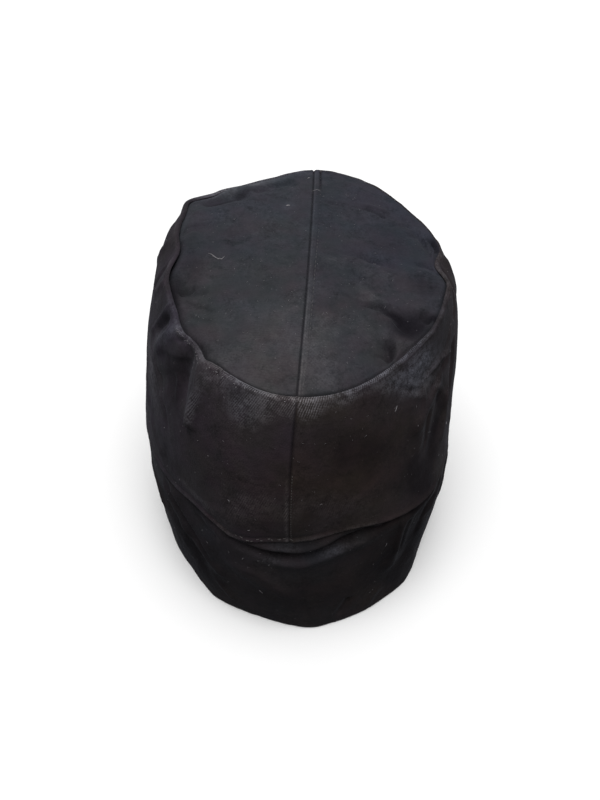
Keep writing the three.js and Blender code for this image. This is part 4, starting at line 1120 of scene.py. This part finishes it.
HALF = np.linspace(0.35, 179.65, 721)
EDGE_Y = {a: beside_rim(a + HALF)[:, 1] for a in (-90, 90)}


def on_top(x, y, off):
    """Points off mm above the finished top at (x, y)."""
    x, y = np.broadcast_arrays(np.asarray(x, float), np.asarray(y, float))
    sx = seam_line(y)
    deg = np.where(
        x > sx,
        np.interp(y, EDGE_Y[-90], -90 + HALF),
        np.interp(y, EDGE_Y[90][::-1], (90 + HALF)[::-1]),
    )
    s = (x - sx) / (beside_rim(deg)[..., 0] - sx)
    base, seam_x = top_base(deg, s)
    d, _ = top_detail(base[..., 0], base[..., 1], base[..., 2], seam_x)
    base[..., 2] += d + off
    return base


# stitches beside the centre seam of the top
y0 = np.arange(-88, 76.5, 3.1)[:, None]
ys = y0 + np.linspace(0.2, 2.7, 5)
sunk = 0.16 * (1 - smooth(ys, -45, 5))
path = on_top(seam_line(ys) - stitch_x(ys), ys, np.array([-0.14, 0.05, 0.10, 0.05, -0.14]) - sunk)
thread_top = tubes("thread_top", list(path), 0.17)

# uneven stitches just above the lower edge of the wall, at the back
rng = np.random.RandomState(4)
count = 11
d0 = (73.6 + np.arange(count) * 1.62 + rng.uniform(-0.3, 0.3, count))[:, None]
ds = d0 + np.linspace(0.0, 1.0, 5) * rng.uniform(0.55, 1.15, (count, 1))
lift = rng.uniform(1.6, 3.0, (count, 1)) + np.linspace(-0.5, 0.5, 5) * rng.uniform(-0.6, 0.6, (count, 1))
path = on_side("wall", ds, lift / WALL_HIGH, np.array([-0.12, 0.10, 0.16, 0.10, -0.12]))
thread_wall = tubes("thread_wall", list(path), 0.19)

# stitches of the centre back seam that show between the panels
v0 = np.arange(3, 50, 1.9)[:, None]
vs = v0 + np.linspace(0.2, 1.5, 5)
path = on_side("wall", 90 + 0.75 / MID + 0 * vs, vs / WALL_HIGH, np.array([-0.22, 0.0, 0.08, 0.0, -0.22]))
thread_back = tubes("thread_back", list(path), 0.16)

# pale lint: short bent fibres. Columns: angle (or x), level (or y), length mm, turn, bend, radius mm
rng = np.random.RandomState(12)


def strewn(count, low, high):
    r = rng.uniform
    place = rng.uniform(low, high, (count, 2))
    return np.column_stack(
        [place, r(0.4, 1.3, count) ** 1.3, r(0, math.pi, count), r(-1.2, 1.2, count), r(0.025, 0.055, count)]
    )


def bent(rows):
    t = np.linspace(-0.5, 0.5, 5)
    length, turn, bend = (rows[:, k : k + 1] for k in (2, 3, 4))
    hump = bend * (t * t - 0.1)
    return (
        length * (t * np.cos(turn) - hump * np.sin(turn)),
        length * (t * np.sin(turn) + hump * np.cos(turn)),
    )


LINT_WALL = [
    (124.0, 0.70, 3.4, 1.05, 0.15, 0.16),
    (156.5, 0.21, 1.4, 0.4, 0.2, 0.15),
    (40.0, 0.30, 1.2, 0.9, 0.6, 0.12),
    (73.0, 0.26, 1.5, 2.2, 0.8, 0.14),
    (78.5, 0.10, 1.1, 0.5, 0.5, 0.14),
]
LINT_FLAP = [
    (81.0, 0.42, 3.2, 2.05, 0.15, 0.11),
    (76.0, 0.80, 1.6, 1.3, 0.4, 0.13),
    (84.0, 0.77, 1.4, 1.2, 0.4, 0.13),
    (121.5, 0.72, 2.6, 1.25, 0.3, 0.11),
]
fibres, sizes = [], []
# tufts along the rim's seam at the back left
tufts = np.column_stack(
    [
        rng.uniform(38, 92, 58), 1 - rng.uniform(0.1, 3.4, 58) / WALL_HIGH, rng.uniform(0.3, 1.0, 58),
        rng.uniform(0, math.pi, 58), rng.uniform(-1, 1, 58), rng.uniform(0.07, 0.15, 58),
    ]
)
LINT_WALL = np.vstack([LINT_WALL, tufts])
for panel, high, count, named in (("wall", WALL_HIGH, 260, LINT_WALL), ("flap", FLAP_HIGH, 110, LINT_FLAP)):
    rows = np.vstack([strewn(count, (0, 0.03), (360, 0.97)), named])
    across, upward = bent(rows)
    fibres += list(on_side(panel, rows[:, :1] + across / MID, np.clip(rows[:, 1:2] + upward / high, 0.01, 0.99), 0.12))
    sizes += rows[:, 5].tolist()
rows = np.vstack([strewn(190, (-70, -84), (66, 76)), strewn(60, (-35, 15), (50, 74))])
rows = rows[((rows[:, 0] / 66) ** 2 + ((rows[:, 1] + 4) / 78) ** 2) < 0.88]
rows = np.vstack([rows, [(11.6, -51.4, 2.2, 0.3, 0.4, 0.28), (-3.4, -67.9, 5.0, 0.1, 0.3, 0.10), (1.6, -80.9, 1.6, 0.3, 0.4, 0.22)]])
across, upward = bent(rows)
fibres += list(on_top(rows[:, :1] + across, rows[:, 1:2] + upward, 0.12))
sizes += rows[:, 5].tolist()
curl = np.array([(50.6, -8.6), (48.6, -7.6), (46.9, -5.8), (44.9, -4.1), (42.9, -3.8), (41.7, -5.8)])
fibres.append(on_top(curl[:, 0], curl[:, 1], 0.3))
sizes.append(0.2)
lint = tubes("lint", fibres, sizes, sides=4)


# ------------------------------------------------------------------ materials
class Nodes:
    """Short way to make shader nodes."""

    def __init__(self, name):
        self.mat = bpy.data.materials.new(name)
        self.mat.use_nodes = True
        self.tree = self.mat.node_tree
        self.tree.nodes.clear()

    def add(self, kind, values=None, **settings):
        n = self.tree.nodes.new("ShaderNode" + kind)
        for k, v in settings.items():
            setattr(n, k, v)
        for k, v in (values or {}).items():
            if isinstance(v, bpy.types.NodeSocket):
                self.tree.links.new(v, n.inputs[k])
            else:
                n.inputs[k].default_value = v
        return n

    def math(self, op, a, b=0.0, c=0.0):
        n = self.add("Math", {0: a, 1: b, 2: c}, operation=op)
        return n.outputs[0]

    def noise(self, vector, scale, detail=2.0, rough=0.5):
        n = self.add("TexNoise", {"Vector": vector, "Scale": scale, "Detail": detail, "Roughness": rough})
        return n.outputs[0]

    def ramp(self, value, low, high, to_low=0.0, to_high=1.0):
        n = self.add("MapRange", {0: value, 1: low, 2: high, 3: to_low, 4: to_high}, clamp=True)
        return n.outputs[0]

    def mix(self, factor, a, b, blend="MIX"):
        n = self.add("Mix", data_type="RGBA", blend_type=blend)
        for key, v in (("Factor_Float", factor), ("A_Color", a), ("B_Color", b)):
            s = next(i for i in n.inputs if i.identifier == key)
            if isinstance(v, bpy.types.NodeSocket):
                self.tree.links.new(v, s)
            else:
                s.default_value = v
        return next(o for o in n.outputs if o.identifier == "Result_Color")


def colour(r, g, b):
    return (r, g, b, 1.0)


def twill(name, deep, raised, worn_and_lit, tint_a, tint_b, turn, pitch, rib, rubbed_and_lit=0.95, patchy=0.10, rough=0.93):
    """Cotton twill. deep and raised are the colours between and on the ribs, worn_and_lit that of rubbed
    ribs and of painted highlights, tint_a and tint_b two faint casts. turn is the ribs' angle in degrees from the
    panel's way round, pitch their spacing in mm, rib how plainly they show, rubbed_and_lit that on worn and lit
    places, patchy the least that worn and lit places are paled."""
    n = Nodes(name)
    grain = n.add("Attribute", attribute_type="GEOMETRY", attribute_name="grain")
    sep = n.add("SeparateXYZ", {0: grain.outputs["Vector"]})
    u, v, wear_and_painted_light = sep.outputs
    place = n.add("TexCoord").outputs["Object"]
    a = math.radians(turn)
    # ribs, a little uneven, fading in and out
    wob = n.noise(place, 130.0, 2.0)
    wob2 = n.noise(place, 26.0, 1.0)
    across = n.math("ADD", n.math("MULTIPLY", u, -math.sin(a) / pitch), n.math("MULTIPLY", v, math.cos(a) / pitch))
    across = n.math("ADD", across, n.math("ADD", n.math("MULTIPLY", wob, 0.8), n.math("MULTIPLY", wob2, 1.6)))
    along = n.math("ADD", n.math("MULTIPLY", u, math.cos(a) / (pitch * 1.3)), n.math("MULTIPLY", v, math.sin(a) / (pitch * 1.3)))
    ribs = n.math("SINE", n.math("MULTIPLY", across, 2 * math.pi))
    steps_ = n.math("SINE", n.math("MULTIPLY", n.math("ADD", along, n.math("MULTIPLY", wob, 0.6)), 2 * math.pi))
    shows = n.ramp(n.noise(place, 70.0, 2.0), 0.36, 0.62, 0.30, 1.0)
    shows = n.math("MULTIPLY", shows, n.ramp(wear_and_painted_light, 0.10, 0.50, 0.14, rubbed_and_lit))
    weave = n.math("MULTIPLY", n.math("ADD", ribs, n.math("MULTIPLY", steps_, 0.25)), shows)
    # the nap: fine fuzz, and slow blotches
    fuzz = n.noise(place, 1150.0, 3.0, 0.7)
    nap = n.noise(place, 420.0, 3.0, 0.6)
    blot = n.noise(place, 44.0, 4.0, 0.6)
    tone = n.math("ADD", n.math("MULTIPLY", weave, rib * 0.32), 0.5)
    tone = n.math("ADD", tone, n.math("MULTIPLY", n.math("SUBTRACT", fuzz, 0.5), 1.35))
    tone = n.math("ADD", tone, n.math("MULTIPLY", n.math("SUBTRACT", nap, 0.5), 0.9))
    tone = n.math("ADD", tone, n.math("MULTIPLY", n.math("SUBTRACT", blot, 0.5), 0.9))
    mottle = n.noise(place, 150.0, 3.0, 0.6)
    tone = n.math("ADD", tone, n.math("MULTIPLY", n.math("SUBTRACT", mottle, 0.5), 0.9))
    tone = n.ramp(tone, 0.0, 1.0)
    col = n.mix(tone, deep, raised)
    cast = n.noise(place, 75.0, 2.0)
    col = n.mix(n.ramp(cast, 0.42, 0.60, 0.0, 0.62), col, tint_a)
    cast2 = n.add("TexNoise", {"Vector": place, "Scale": 58.0, "Detail": 2.0}, noise_dimensions="4D")
    cast2.inputs["W"].default_value = 3.7
    col = n.mix(n.ramp(cast2.outputs[0], 0.46, 0.62, 0.0, 0.55), col, tint_b)
    # paler where worn: rubbed wear and painted highlights
    rub_and_highlight = n.math("MULTIPLY", n.ramp(wear_and_painted_light, 0.04, 1.0), n.ramp(tone, 0.30, 0.78, patchy, 1.15 - 0.5 * patchy))
    col = n.mix(rub_and_highlight, col, worn_and_lit)
    # colour cast: painted tints of cool and warm light
    hue = n.add("Attribute", attribute_type="GEOMETRY", attribute_name="cast").outputs["Fac"]
    col = n.mix(n.ramp(hue, 0.0, -1.0), col, colour(0.90, 0.99, 1.14), "MULTIPLY")
    col = n.mix(n.ramp(hue, 0.0, 1.0), col, colour(1.14, 0.98, 0.83), "MULTIPLY")
    # painted shade in folds, seams and hollows, where wear is below 0: darker towards the deep colour
    dark = (0.42 * deep[0], 0.34 * deep[1], 0.46 * deep[2], 1.0)
    col = n.mix(n.ramp(wear_and_painted_light, -1.0, -0.04, 0.85, 0.0), col, dark)
    # dust: tiny pale specks, here and there
    shift = n.add("VectorMath", {0: place, 1: (0.013, 0.007, 0.021)}, operation="ADD").outputs[0]
    vor = n.add("TexVoronoi", {"Vector": shift, "Scale": 430.0, "Randomness": 1.0})
    near = n.ramp(vor.outputs["Distance"], 0.05, 0.13, 1.0, 0.0)
    pick = n.add("SeparateColor", {0: vor.outputs["Color"]})
    some = n.ramp(n.math("ADD", pick.outputs[0], n.math("MULTIPLY", blot, 0.4)), 1.02, 1.12)
    col = n.mix(n.math("MULTIPLY", n.math("MULTIPLY", near, some), 0.5), col, colour(0.16, 0.15, 0.165))
    height = n.math("ADD", n.math("MULTIPLY", weave, 0.35), n.math("ADD", n.math("MULTIPLY", fuzz, 0.9), n.math("MULTIPLY", nap, 0.9)))
    bump = n.add("Bump", {"Height": height, "Distance": 0.00022, "Strength": 0.9})
    rough_v = n.ramp(tone, 0.0, 1.0, rough + 0.05, rough - 0.08)
    bsdf = n.add("BsdfPrincipled", {"Base Color": col, "Roughness": rough_v, "Normal": bump.outputs[0]})
    bsdf.inputs["Sheen Weight"].default_value = 0.06
    bsdf.inputs["Sheen Roughness"].default_value = 0.4
    bsdf.inputs["Sheen Tint"].default_value = colour(0.75, 0.78, 0.9)
    bsdf.inputs["Specular IOR Level"].default_value = 0.12
    n.add("OutputMaterial", {"Surface": bsdf.outputs[0]})
    return n.mat


def thread(name, dark, light, rough=0.7):
    n = Nodes(name)
    place = n.add("TexCoord").outputs["Object"]
    ply = n.noise(place, 2600.0, 2.0)
    col = n.mix(n.ramp(ply, 0.35, 0.65), dark, light)
    bump = n.add("Bump", {"Height": ply, "Distance": 0.00008, "Strength": 0.6})
    bsdf = n.add("BsdfPrincipled", {"Base Color": col, "Normal": bump.outputs[0]})
    bsdf.inputs["Roughness"].default_value = rough
    bsdf.inputs["Sheen Weight"].default_value = 0.1
    n.add("OutputMaterial", {"Surface": bsdf.outputs[0]})
    return n.mat


# The panels are one cloth: the right panels' colours are a little darker than the left's, and the flap's darker and
# cooler still, painted shade and cool light low on the cap.
mat_tip_left = twill(
    "twill_tip_left",
    colour(0.016, 0.0160, 0.0185), colour(0.050, 0.0498, 0.0575), colour(0.098, 0.098, 0.105),
    colour(0.036, 0.0305, 0.0370), colour(0.0265, 0.0315, 0.0340),
    turn=-11.0, pitch=1.43, rib=0.75, rubbed_and_lit=0.6, patchy=0.42,
)
mat_tip_right = twill(
    "twill_tip_right",
    colour(0.014, 0.0138, 0.0165), colour(0.046, 0.0450, 0.0535), colour(0.092, 0.091, 0.098),
    colour(0.033, 0.0275, 0.0340), colour(0.0235, 0.0285, 0.0320),
    turn=-48.0, pitch=1.30, rib=0.6, rubbed_and_lit=0.45, patchy=0.42,
)
mat_wall_left = twill(
    "twill_wall_left",
    colour(0.0138, 0.0116, 0.0138), colour(0.0460, 0.0390, 0.0460), colour(0.150, 0.146, 0.158),
    colour(0.033, 0.0240, 0.0330), colour(0.0265, 0.0240, 0.0250),
    turn=70.0, pitch=1.0, rib=1.35, rubbed_and_lit=0.85,
)
mat_wall_right = twill(
    "twill_wall_right",
    colour(0.0122, 0.0098, 0.0105), colour(0.0425, 0.0345, 0.0365), colour(0.145, 0.141, 0.155),
    colour(0.0305, 0.0225, 0.0260), colour(0.0250, 0.0215, 0.0190),
    turn=77.0, pitch=1.08, rib=1.3, rubbed_and_lit=0.70,
)
mat_flap = twill(
    "twill_flap",
    colour(0.0090, 0.0076, 0.0080), colour(0.0310, 0.0260, 0.0270), colour(0.082, 0.080, 0.090),
    colour(0.0225, 0.0170, 0.0190), colour(0.0180, 0.0180, 0.0200),
    turn=62.0, pitch=1.05, rib=0.6,
)
mat_thread = thread("thread_black", colour(0.020, 0.019, 0.022), colour(0.075, 0.070, 0.075))
mat_worn_thread = thread("thread_rubbed", colour(0.035, 0.033, 0.034), colour(0.125, 0.117, 0.114))
mat_lint = thread("lint_pale", colour(0.17, 0.16, 0.17), colour(0.36, 0.34, 0.36), 0.9)

for ob, mat in (
    (tip_left, mat_tip_left),
    (tip_right, mat_tip_right),
    (wall_left, mat_wall_left),
    (wall_right, mat_wall_right),
    (flap, mat_flap),
    (thread_top, mat_thread),
    (thread_wall, mat_worn_thread),
    (thread_back, mat_worn_thread),
    (lint, mat_lint),
):
    ob.data.materials.append(mat)

# ----------------------------------------------------- what stands for what
for ob, slot, nodes in (
    (tip_left, "tip_twill", ["crown_tip_left"]),
    (tip_right, "tip_twill", ["crown_tip_right"]),
    (wall_left, "wall_twill", ["crown_wall_left"]),
    (wall_right, "wall_twill", ["crown_wall_right"]),
    (flap, "flap_twill", ["neck_flap"]),
    (thread_top, "tip_twill", []),
    (thread_wall, "wall_twill", []),
    (thread_back, "wall_twill", []),
    (lint, "wall_twill", []),
):
    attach(ob, "root")
    if nodes:
        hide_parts(*nodes)

# ------------------------------------------------------------------ the studio
me = bpy.data.meshes.new("floor")
me.from_pydata([(-6, -6, 0), (6, -6, 0), (6, 6, 0), (-6, 6, 0)], [], [(0, 1, 2, 3)])
floor = bpy.data.objects.new("floor", me)
bpy.context.scene.collection.objects.link(floor)
f = Nodes("studio_floor")
fb = f.add("BsdfPrincipled")
fb.inputs["Base Color"].default_value = colour(0.98, 0.98, 0.98)
fb.inputs["Roughness"].default_value = 1.0
fb.inputs["Specular IOR Level"].default_value = 0.0
f.add("OutputMaterial", {"Surface": fb.outputs[0]})
floor.data.materials.append(f.mat)
floor.visible_diffuse = False
floor.visible_glossy = False

world = bpy.data.worlds.new("studio")
bpy.context.scene.world = world
world.use_nodes = True
wt = world.node_tree
wt.nodes.clear()
path = wt.nodes.new("ShaderNodeLightPath")
low = wt.nodes.new("ShaderNodeBackground")
# the studio's ceiling glows, its floor doesn't
way = wt.nodes.new("ShaderNodeTexCoord")
parts = wt.nodes.new("ShaderNodeSeparateXYZ")
glow = wt.nodes.new("ShaderNodeMapRange")
wt.links.new(way.outputs["Generated"], parts.inputs[0])
wt.links.new(parts.outputs["Z"], glow.inputs[0])
for k, v in zip((1, 2, 3, 4), (-0.05, 0.25, 0.02, 0.46)):
    glow.inputs[k].default_value = v
low.inputs["Color"].default_value = (1, 1, 1, 1)
wt.links.new(glow.outputs[0], low.inputs["Strength"])
white = wt.nodes.new("ShaderNodeBackground")
white.inputs["Color"].default_value = (1, 1, 1, 1)
white.inputs["Strength"].default_value = 1.05
choose = wt.nodes.new("ShaderNodeMixShader")
wout = wt.nodes.new("ShaderNodeOutputWorld")
wt.links.new(path.outputs["Is Camera Ray"], choose.inputs[0])
wt.links.new(low.outputs[0], choose.inputs[1])
wt.links.new(white.outputs[0], choose.inputs[2])
wt.links.new(choose.outputs[0], wout.inputs[0])


sun = bpy.data.lights.new("softbox", "SUN")
sun.energy = 2.2
sun.angle = math.radians(45)
key = bpy.data.objects.new("softbox", sun)
key.location = (0.02, 0.15, 1.0)
key.rotation_euler = (-Vector(key.location)).to_track_quat("-Z", "Y").to_euler()
bpy.context.scene.collection.objects.link(key)

# ------------------------------------------------------------------ the camera
DIST, PITCH, FOCAL = 549.02, math.radians(46.37), 935.71
TARGET = (0.32, 0.47, 82.63)
ROLL, TURN = math.radians(1.70), math.radians(-1.72)
pos = np.array([TARGET[0], TARGET[1] + DIST * math.cos(PITCH), TARGET[2] + DIST * math.sin(PITCH)])
fwd = np.array([0, -math.cos(PITCH), -math.sin(PITCH)])
right = np.array([-1.0, 0, 0])
up = np.array([0, -math.sin(PITCH), math.cos(PITCH)])
r2 = right * math.cos(ROLL) + up * math.sin(ROLL)
u2 = up * math.cos(ROLL) - right * math.sin(ROLL)
back = np.array(
    [[math.cos(-TURN), -math.sin(-TURN), 0], [math.sin(-TURN), math.cos(-TURN), 0], [0, 0, 1]]
)
cam_data = bpy.data.cameras.new("camera")
cam_data.sensor_fit = "AUTO"
cam_data.sensor_width = 36.0
cam_data.lens = FOCAL * 36.0 / 800.0
cam_data.clip_start = 0.01
cam = bpy.data.objects.new("camera", cam_data)
bpy.context.scene.collection.objects.link(cam)
axes = np.stack([back @ r2, back @ u2, back @ -fwd], 1)
m = Matrix.Identity(4)
where = (back @ pos + CENTRE) / 1000.0
for i in range(3):
    for j in range(3):
        m[i][j] = axes[i][j]
    m[i][3] = where[i]
cam.matrix_world = m
bpy.context.scene.camera = cam
bpy.context.scene.view_settings.view_transform = "Standard"
bpy.context.scene.view_settings.look = "None"
